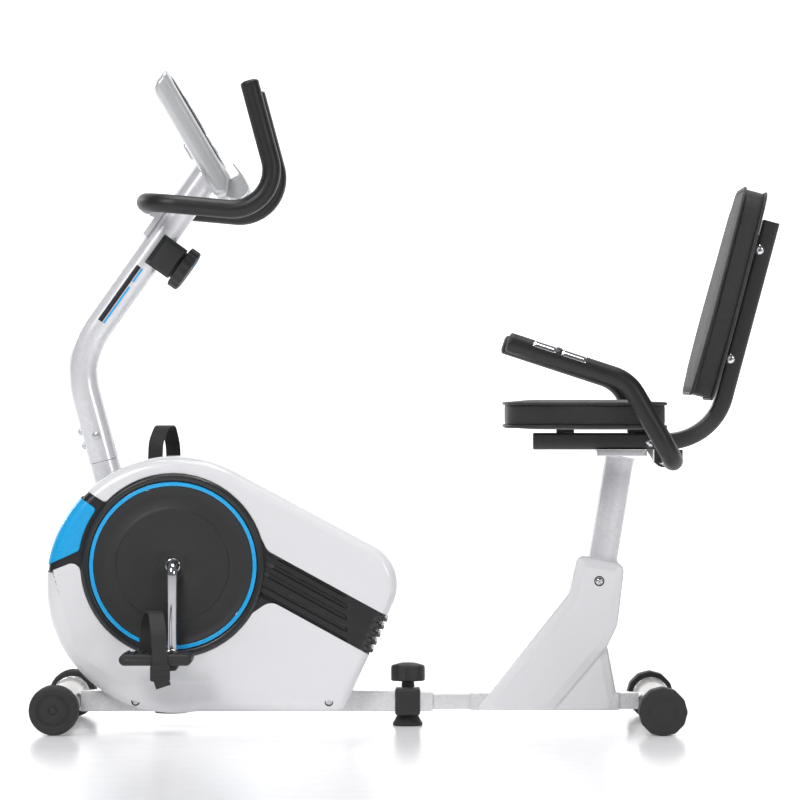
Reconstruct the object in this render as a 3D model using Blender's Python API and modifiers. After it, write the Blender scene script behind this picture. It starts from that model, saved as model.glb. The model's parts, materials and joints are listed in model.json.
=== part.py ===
"""A recumbent exercise bike with a magnetic flywheel, a sliding seat and a step-through frame.

Metres, Z up. X runs along the bike and the rider faces -X, so the rider's left is -Y.
The origin is on the floor, at the middle of the bike's length and width.
"""

import math

import bmesh
import bpy
from mathutils import Matrix, Vector

GAP = 0.0003  # between pieces that touch
SLIDE_GAP = 0.001  # around a piece that slides
TURN_GAP = 0.0006  # around a piece that turns
ARC_STEP = math.radians(18)
SIDES = {"left": -1, "right": 1}

# Overall sizes
FRONT_X = -0.584
REAR_X = 0.416
BASE_WIDTH = 0.520
CAP_RADIUS = 0.041
CAP_LENGTH = 0.052
STABILIZER_RADIUS = 0.030
STABILIZER_WALL = 0.0018
CAP_PLUG = 0.026
REAR_CAP_FLAT = 0.039

# Base rails
CORNER = 0.0034
RAIL_HIGH = 0.034
RAIL_WIDE = 0.060
RAIL_WALL = 0.0025
RAIL_Z = 0.0426
RAIL_END = 0.0386
INNER_START = -0.130
INNER_WALL = 0.002

# Rail lock and centre foot
LOCK_X = -0.003
LOCK_KNOB_RADIUS = 0.029
LOCK_KNOB_LOW = 0.0757
LOCK_KNOB_HIGH = 0.1017
LOCK_DOME = 0.0053
LOCK_STEM_RADIUS = 0.011
LOCK_NUT_RADIUS = 0.0125
LOCK_NUT_HIGH = 0.0046
LOCK_BOLT_RADIUS = 0.005
FOOT_X = -0.0035
FOOT_SADDLE_LENGTH = 0.042
FOOT_SADDLE_WALL = 0.004
FOOT_SADDLE_LOW = 0.0195
FOOT_RADIUS = 0.025
FOOT_DISC = 0.006
FOOT_THREAD_RADIUS = 0.006

# Drive housing
HOUSING_X = -0.394
HOUSING_Z = 0.240
HOUSING_RADIUS = 0.2155
HOUSING_SLOPE = math.radians(28.1)
HOUSING_TAIL_X = 0.002
HOUSING_TAIL_RADIUS = 0.073
HOUSING_HEEL = (-0.112, 0.0287)
HOUSING_HEEL_RADIUS = 0.020
HOUSING_HALF = 0.0845
HOUSING_EDGE = 0.012
CORE_WALL = 0.0025
COVER_THICK = 0.0025
RIB_SEAM = 0.001
RIB_LOW = 0.128
RIB_PITCH = 0.0125
RIB_COUNT = 5

# How the side of the housing is shared out, as points in X and Z and angles round the crank
COVER_CLEAR = 0.0015
RING_STEP = math.radians(9)
ARM_UPPER = (-0.640, 0.459)
ARM_UPPER_ANGLE = math.radians(137)
UPPER_ARC = (math.radians(131), math.radians(16))
BAND_UPPER_START = (-0.238, 0.298)
BAND_UPPER_END = (0.120, 0.100)
ARM_LOWER = (-0.680, 0.233)
ARM_LOWER_ANGLE = math.radians(176)
LOWER_ARC = (math.radians(184), math.radians(331))
BAND_LOWER_START = (-0.233, 0.214)
BAND_LOWER_END = (0.120, 0.023)
ACCENT_RADIUS = 0.157
ACCENT_ARC = (math.radians(142), math.radians(171))
ACCENT_TOP = (-0.640, 0.448)
ACCENT_BOTTOM = (-0.640, 0.259)
PAST_TOP = ((0.2, 0.6), (-0.7, 0.6))  # far corners of the covers' regions, off the housing
PAST_FLOOR = ((0.2, -0.1), (-0.7, -0.1))

# Crank and pedals
CRANK_X = -0.396
CRANK_Z = 0.273
CRANK_LENGTH = 0.152
CRANK_PLANE = 0.113
ARM_THICK = 0.016
ARM_WIDE = 0.022
ARM_END = 0.017
AXLE_RADIUS = 0.010
HUB_RING_RADIUS = 0.153
HUB_BOWL_RADIUS = 0.133
HUB_FLAT_RADIUS = 0.0936
HUB_WALL = 0.0025
HUB_DISH = 0.0075
HUB_FIT = 0.0015
RING_HALF = 0.0873
HUB_DISC_HALF = 0.0895
BEARING_RADIUS = 0.0172
BEARING_WIDTH = 0.011
BEARING_Y = 0.0515
SHELL_WALL = 0.0045
PEDAL_LENGTH = 0.120
PEDAL_WIDTH = 0.100
PEDAL_THICK = 0.023
PEDAL_START = 0.135
PEDAL_OFFSET = -0.022
PEDAL_KEEL = 0.010
SPINDLE_RADIUS = 0.006
STRAP_WIDE = 0.026
STRAP_THICK = 0.003
STRAP_RISE = 0.079
STRAP_TAIL = 0.042

# Flywheel, belt and brake
FLYWHEEL_X = -0.170
FLYWHEEL_Z = 0.190
FLYWHEEL_RADIUS = 0.105
FLYWHEEL_HALF = 0.010
FLYWHEEL_AXLE_RADIUS = 0.006
FLYWHEEL_AXLE_BACK = -0.042
BELT_Y = 0.069
BELT_WIDTH = 0.008
BELT_THICK = 0.002
BELT_CLEAR = 0.0006
BELT_STEP = math.radians(10)
DRIVE_RADIUS = 0.120
DRIVEN_RADIUS = 0.016
PULLEY_WIDTH = 0.010
FORK_INNER = 0.030
FORK_THICK = 0.004
FORK_HALF = 0.014
FORK_FOOT = 0.035
FORK_PIN = (-0.111, 0.292)
PIN_RADIUS = 0.004
MAGNET_GAP = 0.005
MAGNET_THICK = 0.012
MAGNET_HALF = 0.009
MAGNET_START = math.radians(62)
MAGNET_END = math.radians(160)

# Mast and handlebar post
POST_BEND = (-0.5634, 0.6211)
POST_BEND_RADIUS = 0.135
POST_RADIUS = 0.025
POST_WALL = 0.0018
POST_LEAN = math.radians(15.1)
POST_RAKE = math.radians(35.5)
POST_LOW = 0.180
POST_PLATE = 0.003
POST_PLATE_HALF = 0.032
POST_HIGH = 0.368
MAST_TOP = 0.095
MAST_WALL = 0.002
MAST_FIT = 0.0008
MAST_LENGTH = 0.620
GUSSET_HIGH = 0.018
GUSSET_HALF = 0.012
CONSOLE_LEAN = math.radians(30.3)
CONSOLE_TOP = (-0.4068, 1.1042)
CONSOLE_LENGTH = 0.2363
CONSOLE_FACE = 0.2098
CONSOLE_THICK = 0.0375
CONSOLE_HALF = 0.110
SCREEN_LENGTH = 0.085
SCREEN_WIDTH = 0.140
SCREEN_THICK = 0.003
SCREEN_OFFSET = 0.085
BUTTONS = {"left": -0.045, "middle": 0.0, "right": 0.045}
BUTTON_SIZE = 0.022
BUTTON_HIGH = 0.010
BUTTON_RISE = 0.002
BUTTON_TRAVEL = 0.0015
BUTTON_OFFSET = 0.152
LEDGE_WIDE = 0.160
LEDGE_WALL = 0.0035

# Handlebar
BAR_RADIUS = 0.0125
BAR_WALL = 0.002
GRIP_RADIUS = 0.0155
BAR_X = -0.439
BAR_Z = 0.879
BAR_HALF = 0.175
BAR_KNEE = (-0.2064, 0.8582)
BAR_KNEE_RADIUS = 0.065
BAR_TIP = (-0.2656, 1.0785)
BAR_CORNER_RADIUS = 0.055
GRIP_START = 0.060
GRIP_CAP = 0.003
BRACKET_HALF = 0.024
BRACKET_WALL = 0.004
BRACKET_LONG = 0.046
BRACKET_SHORT = 0.013

# Tension control
TENSION_ALONG = 0.228
TENSION_LENGTH = 0.058
TENSION_HALF = 0.033
TENSION_DEPTH = 0.043
NECK_RADIUS = 0.025
NECK_DEPTH = 0.051
TENSION_KNOB_RADIUS = 0.0375
TENSION_KNOB_DEPTH = 0.021
TENSION_STEM_RADIUS = 0.005

# Seat
SEAT_BASE_START = 0.103
SEAT_BASE_END = 0.352
SEAT_BASE_WALL = 0.0014
SEAT_POST_TOP = (0.3553, 0.4553)
SEAT_POST_LEAN = math.radians(9.6)
SEAT_POST_RADIUS = 0.025
SEAT_POST_WALL = 0.002
PLATE_START = 0.314
PLATE_END = 0.399
PLATE_THICK = 0.009
PLATE_HALF = 0.045
FRAME_BEND = (0.5107, 0.4803)
FRAME_BEND_RADIUS = 0.100
FRAME_START = 0.2084
FRAME_HIGH = 0.028
FRAME_WIDE = 0.060
FRAME_WALL = 0.002
BACK_LEAN = math.radians(15)
BACK_LENGTH = 0.383
SEAT_FRONT = 0.157
SEAT_REAR = 0.4285
SEAT_LOW = 0.501
SEAT_THICK = 0.049
SEAT_HALF_FRONT = 0.120
SEAT_HALF_REAR = 0.200
SEAT_SHOULDER = 0.275
SEAT_CORNER = 0.040
CUSHION_EDGE = 0.012
BACK_START = 0.064
BACK_END = 0.426
BACK_OFFSET = 0.0205
BACK_THICK = 0.0465
BACK_HALF_TOP = 0.130
BACK_HALF_WIDE = 0.180
BACK_CORNER = 0.045
SPACER_LENGTH = 0.029
SPACER_HALF = 0.022
BOARD_START = 0.120
BOARD_END = 0.355
BOARD_HALF = 0.040
SPACER_XS = {"front": 0.2625, "rear": 0.3825}

# Armrests
ARM_REST_HALF = 0.225
ARM_REST_TIP = (0.1622, 0.6462)
ARM_REST_KNEE = (0.3589, 0.5819)
ARM_REST_KNEE_RADIUS = 0.065
ARM_REST_LOW = (0.436, 0.450)
ARM_TUBE_RADIUS = 0.0125
ARM_GRIP_RADIUS = 0.0165
ARM_LOW_RADIUS = 0.045
ARM_GRIP_START = 0.052
ARM_BLOCK_HALF = 0.024

# Rear cover
COVER_HALF = 0.040
COVER_EDGE = 0.008
COVER_WALL = 0.0025
COVER_FIT = 0.001
COVER_OUTLINE = (
    ((0.112, 0.0287), 0.012),
    ((0.2675, 0.2242), 0.030),
    ((0.2825, 0.290), 0.015),
    ((0.3625, 0.274), 0.016),
    ((0.345, 0.158), 0.030),
    ((0.331, 0.1366), 0.020),
    ((0.3473, 0.0587), 0.0),
    ((0.351, 0.0287), 0.0),
)


def new_collection(name):
    """An empty collection in the scene, with this name."""
    collection = bpy.data.collections.new(name)
    bpy.context.scene.collection.children.link(collection)
    return collection


def material(name, colour, roughness, metallic=0.0):
    """A Principled material with this base colour, roughness and metallic value."""
    made = bpy.data.materials.new(name)
    made.use_nodes = True
    shader = made.node_tree.nodes["Principled BSDF"]
    shader.inputs["Base Color"].default_value = (*colour, 1.0)
    shader.inputs["Roughness"].default_value = roughness
    shader.inputs["Metallic"].default_value = metallic
    made.diffuse_color = (*colour, 1.0)
    return made


FINISHES = {
    "white": ((0.86, 0.86, 0.88), 0.28, 0.0),
    "pearl": ((0.72, 0.72, 0.75), 0.30, 0.2),
    "silver": ((0.55, 0.56, 0.58), 0.32, 0.6),
    "champagne": ((0.50, 0.47, 0.43), 0.30, 0.8),
    "chrome": ((0.80, 0.80, 0.82), 0.12, 1.0),
    "steel": ((0.45, 0.45, 0.46), 0.40, 1.0),
    "black": ((0.025, 0.025, 0.027), 0.45, 0.0),
    "graphite": ((0.060, 0.060, 0.062), 0.50, 0.0),
    "foam": ((0.020, 0.020, 0.022), 0.70, 0.0),
    "vinyl": ((0.050, 0.048, 0.046), 0.55, 0.0),
    "rubber": ((0.020, 0.020, 0.020), 0.80, 0.0),
    "blue": ((0.016, 0.469, 0.922), 0.30, 0.0),
    "glass": ((0.010, 0.012, 0.014), 0.10, 0.0),
    "iron": ((0.120, 0.120, 0.125), 0.45, 0.9),
}


def add(name, data, finish):
    """An object with this data, in the bike's collection, with a material of its own."""
    obj = bpy.data.objects.new(name, data)
    BIKE.objects.link(obj)
    obj.data.materials.append(material(name, *FINISHES[finish]))
    return obj


def smooth(obj):
    """Shades the object smooth, with its edges over 35 degrees left sharp."""
    obj.data.shade_smooth()
    obj.data.set_sharp_from_angle(angle=math.radians(35))
    return obj


def place(obj, matrix):
    """Moves the object by a matrix, in world space."""
    obj.matrix_world = matrix @ obj.matrix_world
    return obj


def shift(x=0.0, y=0.0, z=0.0):
    """A matrix that moves by this much."""
    return Matrix.Translation((x, y, z))


def tilt(angle, axis="Y"):
    """A matrix that turns by an angle about an axis through the origin."""
    return Matrix.Rotation(angle, 4, axis)


def aim(start, end):
    """A matrix that puts the origin at start and turns +Z towards end."""
    start = Vector(start)
    turn = (Vector(end) - start).to_track_quat("Z", "Y")
    return Matrix.Translation(start) @ turn.to_matrix().to_4x4()


ALONG = {
    "X": Matrix.Rotation(math.pi / 2, 4, "Y"),
    "Y": Matrix.Rotation(-math.pi / 2, 4, "X"),
    "Z": Matrix.Identity(4),
}


def as_mesh(obj):
    """The object as a plain mesh with its caps welded, in the same place."""
    bpy.context.view_layer.update()
    graph = bpy.context.evaluated_depsgraph_get()
    mesh = bpy.data.meshes.new_from_object(obj.evaluated_get(graph))
    shape = bmesh.new()
    shape.from_mesh(mesh)
    bmesh.ops.remove_doubles(shape, verts=shape.verts, dist=0.00001)
    shape.to_mesh(mesh)
    shape.free()
    name = obj.name
    matrix = obj.matrix_world.copy()
    bpy.data.objects.remove(obj)
    solid = bpy.data.objects.new(name, mesh)
    BIKE.objects.link(solid)
    solid.matrix_world = matrix
    return solid


def boolean(obj, others, operation):
    """Adds one Boolean modifier for each other solid, and puts those solids with the cutters."""
    for other in others:
        modifier = obj.modifiers.new(other.name, "BOOLEAN")
        modifier.operation = operation
        modifier.object = other
        for collection in list(other.users_collection):
            collection.objects.unlink(other)
        CUTTERS.objects.link(other)
        other.hide_render = True
        other.display_type = "WIRE"
    return obj


def cut(obj, *others):
    """Takes the other solids away from the object."""
    return boolean(obj, others, "DIFFERENCE")


def join(obj, *others):
    """Makes the object and the other solids one body."""
    return boolean(obj, others, "UNION")


def common(obj, *others):
    """Keeps what the object shares with the other solids."""
    return boolean(obj, others, "INTERSECT")


def rounded_edges(obj, width, segments=2):
    """Rounds the object's sharp edges."""
    modifier = obj.modifiers.new("edges", "BEVEL")
    modifier.width = width
    modifier.segments = segments
    modifier.limit_method = "ANGLE"
    modifier.angle_limit = math.radians(50)
    return obj


def filleted(corners, closed=False, step=ARC_STEP):
    """The points of a line through corners, each of them (point, radius), rounded by arcs."""
    points = []
    last = len(corners) - 1
    for number, (corner, radius) in enumerate(corners):
        corner = Vector(corner)
        if radius == 0 or (not closed and number in (0, last)):
            points.append(corner)
            continue
        before = (Vector(corners[number - 1][0]) - corner).normalized()
        after = (Vector(corners[(number + 1) % len(corners)][0]) - corner).normalized()
        half = before.angle(after) / 2
        centre = corner + (before + after).normalized() * (radius / math.sin(half))
        start = corner + before * (radius / math.tan(half)) - centre
        end = corner + after * (radius / math.tan(half)) - centre
        turn = math.pi - 2 * half
        count = max(1, math.ceil(turn / step))
        for part in range(count + 1):
            share = part / count
            spoke = start * math.sin((1 - share) * turn) + end * math.sin(share * turn)
            points.append(centre + spoke / math.sin(turn))
    return points


def arc(centre, radius, start, end, step=ARC_STEP):
    """The points of an arc round a centre, from one angle to another."""
    count = max(1, math.ceil(abs(end - start) / step))
    angles = [start + (end - start) * number / count for number in range(count + 1)]
    return [
        Vector((centre[0] + radius * math.cos(angle), centre[1] + radius * math.sin(angle)))
        for angle in angles
    ]


def rectangle(low, high, radius=0.0):
    """The outline of a rectangle between two corners, with its corners rounded."""
    corners = ((low[0], low[1]), (high[0], low[1]), (high[0], high[1]), (low[0], high[1]))
    return filleted([(corner, radius) for corner in corners], closed=True, step=math.radians(30))


def offset(points, distance, closed=True):
    """The line moved to its left by a distance, with its corners mitred."""
    moved = []
    last = len(points) - 1
    for number, point in enumerate(points):
        before = points[number - 1] if closed or number else point
        after = points[(number + 1) % len(points)] if closed or number < last else point
        sides = []
        for step in (point - before, after - point):
            if step.length > 0:
                sides.append(Vector((-step.y, step.x)).normalized())
        middle = sum(sides, Vector((0, 0))).normalized()
        moved.append(point + middle * (distance / max(middle.dot(sides[0]), 0.3)))
    return moved


def strip(corners, half, step=ARC_STEP):
    """The outline of a bent strip along a line, this far to each side of it."""
    line = filleted(corners, step=step)
    return offset(line, half, closed=False) + offset(line, -half, closed=False)[::-1]


def plate(name, outlines, low, high, finish, axis="Y"):
    """A flat outline with its holes, from low to high along an axis.

    The outline is in X and Z along Y, in Y and Z along X, and in X and Y along Z.
    """
    curve = bpy.data.curves.new(name, "CURVE")
    curve.dimensions = "2D"
    curve.fill_mode = "BOTH"
    curve.extrude = (high - low) / 2
    for outline in outlines:
        spline = curve.splines.new("POLY")
        spline.points.add(len(outline) - 1)
        spline.use_cyclic_u = True
        for point, place_at in zip(spline.points, outline):
            point.co = (place_at[0], place_at[1], 0.0, 1.0)
    obj = add(name, curve, finish)
    turns = {"X": (math.pi / 2, 0, math.pi / 2), "Y": (math.pi / 2, 0, 0), "Z": (0, 0, 0)}
    obj.rotation_euler = turns[axis]
    obj.location["XYZ".index(axis)] = (low + high) / 2
    return as_mesh(obj)


def around(radius, sides):
    """The radius of a polygon with this many sides whose flats lie at the radius given."""
    return radius / math.cos(math.pi / sides)


def tube(name, corners, radius, finish, wall=0.0, sides=10, step=ARC_STEP):
    """A round tube along a line with rounded corners, solid where the wall is 0."""
    points = filleted(corners, step=step)
    curve = bpy.data.curves.new(name, "CURVE")
    curve.dimensions = "3D"
    curve.bevel_depth = radius
    curve.bevel_resolution = (sides - 4) // 2
    curve.use_fill_caps = wall == 0
    spline = curve.splines.new("POLY")
    spline.points.add(len(points) - 1)
    for point, place_at in zip(spline.points, points):
        point.co = (*place_at, 1.0)
    obj = as_mesh(add(name, curve, finish))
    if wall:
        modifier = obj.modifiers.new("wall", "SOLIDIFY")
        modifier.thickness = wall
        modifier.offset = -1
    return smooth(obj)


def cylinder(name, radius, low, high, finish, axis="Z", at=(0, 0, 0), sides=32, top=None):
    """A cylinder, or a cone with another radius at its high end, along an axis through a point."""
    shape = bmesh.new()
    bmesh.ops.create_cone(
        shape,
        cap_ends=True,
        segments=sides,
        radius1=radius,
        radius2=radius if top is None else top,
        depth=high - low,
        matrix=shift(z=(low + high) / 2),
    )
    mesh = bpy.data.meshes.new(name)
    shape.to_mesh(mesh)
    shape.free()
    obj = add(name, mesh, finish)
    obj.matrix_world = shift(*at) @ ALONG[axis]
    return smooth(obj)


def rod(name, start, end, radius, finish, sides=16):
    """A cylinder from one point to another."""
    length = (Vector(end) - Vector(start)).length
    obj = cylinder(name, radius, 0, length, finish, sides=sides)
    obj.matrix_world = aim(start, end)
    return obj


def box(name, low, high, finish):
    """A box between two corners."""
    shape = bmesh.new()
    size = [b - a for a, b in zip(low, high)]
    bmesh.ops.create_cube(shape, size=1, matrix=Matrix.Diagonal((*size, 1)))
    mesh = bpy.data.meshes.new(name)
    shape.to_mesh(mesh)
    shape.free()
    obj = add(name, mesh, finish)
    obj.matrix_world = shift(*[(a + b) / 2 for a, b in zip(low, high)])
    return obj


def turned(name, profile, finish, axis="Z", at=(0, 0, 0), steps=20, ring=False):
    """A profile of (radius, height), running down its outer side, turned about an axis."""
    mesh = bpy.data.meshes.new(name)
    count = len(profile)
    edges = [(number, number + 1) for number in range(count - 1)]
    if ring:
        edges.append((count - 1, 0))
    mesh.from_pydata([(radius, 0, height) for radius, height in profile], edges, [])
    obj = add(name, mesh, finish)
    modifier = obj.modifiers.new("turn", "SCREW")
    modifier.steps = steps
    modifier.render_steps = steps
    modifier.use_merge_vertices = True
    modifier.merge_threshold = 0.0001
    obj.matrix_world = shift(*at) @ ALONG[axis]
    return obj


def axis_empty(name, x, y, z, parent=None):
    """An empty on a joint's axis, which carries the pieces that move about it."""
    empty = bpy.data.objects.new(name, None)
    empty.location = (x, y, z)
    BIKE.objects.link(empty)
    if parent:
        ride(parent, empty)
    return empty


def ride(empty, *pieces):
    """Parents the pieces to an empty, where they are."""
    for piece in pieces:
        piece.parent = empty
        piece.matrix_parent_inverse = Matrix.Translation(-Vector(empty.location))
    return pieces


# Sizes that follow from the driving ones
RAIL_TOP = RAIL_Z + RAIL_HIGH / 2
RAIL_BOTTOM = RAIL_Z - RAIL_HIGH / 2
INNER_WIDE = RAIL_WIDE - 2 * (RAIL_WALL + SLIDE_GAP)
INNER_HIGH = RAIL_HIGH - 2 * (RAIL_WALL + SLIDE_GAP)
SLEEVE_HIGH = INNER_HIGH + 2 * (SEAT_BASE_WALL + GAP)
SLEEVE_TOP = RAIL_Z + SLEEVE_HIGH / 2
TUBE_HALF = BASE_WIDTH / 2 - CAP_LENGTH
REAR_Z = REAR_CAP_FLAT
CORE_HALF = HOUSING_HALF - COVER_THICK
MAST_RADIUS = POST_RADIUS - POST_WALL - MAST_FIT
SHELL_RADIUS = BEARING_RADIUS + SHELL_WALL
POST_DOWN = Vector((math.sin(POST_LEAN), -math.cos(POST_LEAN)))
POST_UP = Vector((math.sin(POST_RAKE), math.cos(POST_RAKE)))
POST_FRONT = Vector((-POST_UP.y, POST_UP.x))


def on_plane(point, y=0.0):
    """A point of the X and Z plane, at this Y."""
    return Vector((point[0], y, point[1]))


def mast_point(along):
    """A point of the mast's axis, this far below the post's bend."""
    return Vector(POST_BEND) + POST_DOWN * along


def post_point(along, front=0.0):
    """A point above the post's bend: this far along the upper run, and this far in front of it."""
    return Vector(POST_BEND) + POST_UP * along + POST_FRONT * front


def rectangular_tube(name, wide, high, wall, start, end, finish):
    """A rectangular tube along X, centred on the rails' height."""
    outer = rectangle((-wide / 2, RAIL_Z - high / 2), (wide / 2, RAIL_Z + high / 2), CORNER)
    inner = rectangle(
        (-wide / 2 + wall, RAIL_Z - high / 2 + wall),
        (wide / 2 - wall, RAIL_Z + high / 2 - wall),
    )
    return plate(name, [outer, inner], start, end, finish, axis="X")


def make_base_rail():
    """The outer rail: coped to the front tube, with the lock's nut welded on top."""
    rail = rectangular_tube(
        "base_rail", RAIL_WIDE, RAIL_HIGH, RAIL_WALL, FRONT_X, RAIL_END, "white"
    )
    cope = cylinder(
        "rail_cope",
        STABILIZER_RADIUS + GAP,
        -RAIL_WIDE,
        RAIL_WIDE,
        "white",
        axis="Y",
        at=(FRONT_X, 0, CAP_RADIUS),
    )
    nut = cylinder(
        "lock_nut",
        LOCK_NUT_RADIUS,
        RAIL_TOP - RAIL_WALL / 2,
        RAIL_TOP + LOCK_NUT_HIGH,
        "white",
        at=(LOCK_X, 0, 0),
        sides=24,
    )
    bore = cylinder(
        "lock_bore",
        LOCK_BOLT_RADIUS + TURN_GAP,
        RAIL_Z,
        LOCK_KNOB_LOW,
        "white",
        at=(LOCK_X, 0, 0),
        sides=24,
    )
    cut(rail, cope)
    join(rail, nut)
    return cut(rail, bore)


def make_stabilizer(name, x, z, finish):
    """A cross tube of the base, open at both ends for its caps."""
    ends = [((x, -TUBE_HALF + GAP, z), 0), ((x, TUBE_HALF - GAP, z), 0)]
    return tube(name, ends, STABILIZER_RADIUS, finish, wall=STABILIZER_WALL, sides=16)


def make_front_wheel(side):
    """A transport wheel, whose hub turns inside the end of the front tube."""
    plug = STABILIZER_RADIUS - STABILIZER_WALL - TURN_GAP
    profile = [
        (0, BASE_WIDTH / 2 - 0.004),
        (CAP_RADIUS * 0.6, BASE_WIDTH / 2 - 0.004),
        (CAP_RADIUS * 0.66, BASE_WIDTH / 2),
        (CAP_RADIUS - 0.003, BASE_WIDTH / 2),
        (CAP_RADIUS, BASE_WIDTH / 2 - 0.003),
        (CAP_RADIUS, TUBE_HALF + 0.003),
        (CAP_RADIUS - 0.003, TUBE_HALF),
        (plug, TUBE_HALF),
        (plug, TUBE_HALF - CAP_PLUG),
        (0, TUBE_HALF - CAP_PLUG),
    ]
    wheel = turned(
        f"front_wheel_{side}", profile, "rubber", axis="Y", at=(FRONT_X, 0, CAP_RADIUS)
    )
    if SIDES[side] < 0:
        place(wheel, shift(x=FRONT_X) @ tilt(math.pi, "Z") @ shift(x=-FRONT_X))
    return wheel


def make_rear_cap(side):
    """A twelve-sided levelling cap that turns on the end of the rear tube."""
    plug = STABILIZER_RADIUS - STABILIZER_WALL - TURN_GAP
    corner = REAR_CAP_FLAT / math.cos(math.pi / 12)
    faces = [
        Vector((corner * math.cos(angle), corner * math.sin(angle)))
        for angle in (math.pi * (number + 0.5) / 6 for number in range(12))
    ]
    low, high = sorted(SIDES[side] * y for y in (TUBE_HALF, BASE_WIDTH / 2))
    cap = plate(f"rear_cap_{side}", [faces], low, high, "rubber")
    place(cap, shift(x=REAR_X, z=REAR_Z))
    low, high = sorted(SIDES[side] * y for y in (TUBE_HALF - CAP_PLUG, TUBE_HALF + GAP))
    hub = cylinder(f"cap_plug_{side}", plug, low, high, "rubber", "Y", (REAR_X, 0, REAR_Z), 24)
    return join(rounded_edges(cap, 0.003, 1), hub)


def fluted(radius, depth, count):
    """The outline of a fluted knob: a circle with this many shallow hollows."""
    angles = [2 * math.pi * number / (count * 4) for number in range(count * 4)]
    return [
        Vector((math.cos(angle), math.sin(angle))) * (radius - depth * (number % 4 == 0))
        for number, angle in enumerate(angles)
    ]


def make_lock_knob():
    """The rail lock: a fluted knob on a bolt that ends just above the inner rail."""
    knob = plate(
        "lock_knob",
        [fluted(LOCK_KNOB_RADIUS, 0.003, 8)],
        LOCK_KNOB_LOW,
        LOCK_KNOB_HIGH,
        "black",
        axis="Z",
    )
    place(knob, shift(x=LOCK_X))
    at = (LOCK_X, 0, 0)
    dome = cylinder(
        "lock_dome",
        LOCK_KNOB_RADIUS * 0.7,
        LOCK_KNOB_HIGH - GAP,
        LOCK_KNOB_HIGH + LOCK_DOME,
        "black",
        at=at,
        sides=24,
        top=LOCK_KNOB_RADIUS * 0.35,
    )
    stem = cylinder(
        "lock_stem",
        LOCK_STEM_RADIUS,
        RAIL_TOP + LOCK_NUT_HIGH + TURN_GAP,
        LOCK_KNOB_LOW + GAP,
        "black",
        at=at,
        sides=24,
    )
    bolt = cylinder(
        "lock_bolt",
        LOCK_BOLT_RADIUS,
        RAIL_Z + INNER_HIGH / 2 + TURN_GAP,
        LOCK_KNOB_LOW + GAP,
        "steel",
        at=at,
        sides=16,
    )
    return join(knob, dome, stem, bolt)


def make_foot_saddle():
    """The block that carries the centre foot, fitted round the rail's lower half."""
    half = RAIL_WIDE / 2 + GAP + FOOT_SADDLE_WALL
    low = FOOT_X - FOOT_SADDLE_LENGTH / 2
    high = FOOT_X + FOOT_SADDLE_LENGTH / 2
    saddle = box("foot_saddle", (low, -half, FOOT_SADDLE_LOW), (high, half, RAIL_Z), "black")
    seat = box(
        "saddle_seat",
        (low - 0.01, -RAIL_WIDE / 2 - GAP, RAIL_BOTTOM - GAP),
        (high + 0.01, RAIL_WIDE / 2 + GAP, RAIL_Z + 0.01),
        "black",
    )
    bore = cylinder(
        "saddle_bore",
        FOOT_THREAD_RADIUS + TURN_GAP,
        0,
        RAIL_Z,
        "black",
        at=(FOOT_X, 0, 0),
        sides=24,
    )
    return cut(saddle, seat, bore)


def make_foot_pad():
    """The centre foot: a disc and a cone on a screw that goes up into the saddle."""
    profile = [
        (0, RAIL_BOTTOM - 2 * GAP),
        (FOOT_THREAD_RADIUS, RAIL_BOTTOM - 2 * GAP),
        (FOOT_THREAD_RADIUS, FOOT_SADDLE_LOW - TURN_GAP),
        (FOOT_RADIUS * 0.72, FOOT_SADDLE_LOW - TURN_GAP),
        (FOOT_RADIUS, FOOT_DISC),
        (FOOT_RADIUS, 0),
        (0, 0),
    ]
    return turned("foot_pad", profile, "rubber", at=(FOOT_X, 0, 0))


def make_inner_rail():
    """The rail that slides in the base rail, coped to the rear tube."""
    rail = rectangular_tube(
        "inner_rail", INNER_WIDE, INNER_HIGH, INNER_WALL, INNER_START, REAR_X, "silver"
    )
    cope = cylinder(
        "inner_cope",
        STABILIZER_RADIUS + GAP,
        -RAIL_WIDE,
        RAIL_WIDE,
        "silver",
        axis="Y",
        at=(REAR_X, 0, REAR_Z),
    )
    return cut(rail, cope)


def housing_tail():
    """The corner where the housing's slope, a tangent of its circle, meets the rear edge."""
    run = HOUSING_TAIL_X - HOUSING_X - HOUSING_RADIUS * math.sin(HOUSING_SLOPE)
    rise = HOUSING_RADIUS * math.cos(HOUSING_SLOPE) - run * math.tan(HOUSING_SLOPE)
    return Vector((HOUSING_TAIL_X, HOUSING_Z + rise))


def housing_outline(inset=0.0):
    """The side outline of the housing, anticlockwise, moved inwards by the inset.

    A circle round the front and top runs into a straight slope down to the tail, and a
    leaning rear edge runs down to the heel.
    """
    centre = (HOUSING_X, HOUSING_Z)
    top = math.pi / 2 - HOUSING_SLOPE
    bottom = 2 * math.pi - math.asin((HOUSING_Z - HOUSING_HEEL[1]) / HOUSING_RADIUS)
    round_part = arc(centre, HOUSING_RADIUS, top, bottom)
    rest = filleted(
        [
            (round_part[-1], 0),
            (HOUSING_HEEL, HOUSING_HEEL_RADIUS),
            (housing_tail(), HOUSING_TAIL_RADIUS),
            (round_part[0], 0),
        ]
    )
    return offset(round_part + rest[1:-1], inset)


def half_body(name, outline, half, side, edge, finish, middle=GAP):
    """A closed solid from the middle plane out to one side, with that side's edge rounded."""
    low, high = sorted(SIDES[side] * y for y in (middle, half))
    obj = plate(name, [outline], low, high, finish)
    shape = bmesh.new()
    shape.from_mesh(obj.data)
    turn = obj.matrix_world
    rim = [
        line
        for line in shape.edges
        if len(line.link_faces) == 2
        and all(abs((turn @ point.co).y - SIDES[side] * half) < 0.00001 for point in line.verts)
        and line.calc_face_angle() > 1
    ]
    bmesh.ops.bevel(shape, geom=rim, offset=edge, segments=2, profile=0.5, affect="EDGES")
    shape.to_mesh(obj.data)
    shape.free()
    return smooth(obj)


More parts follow.
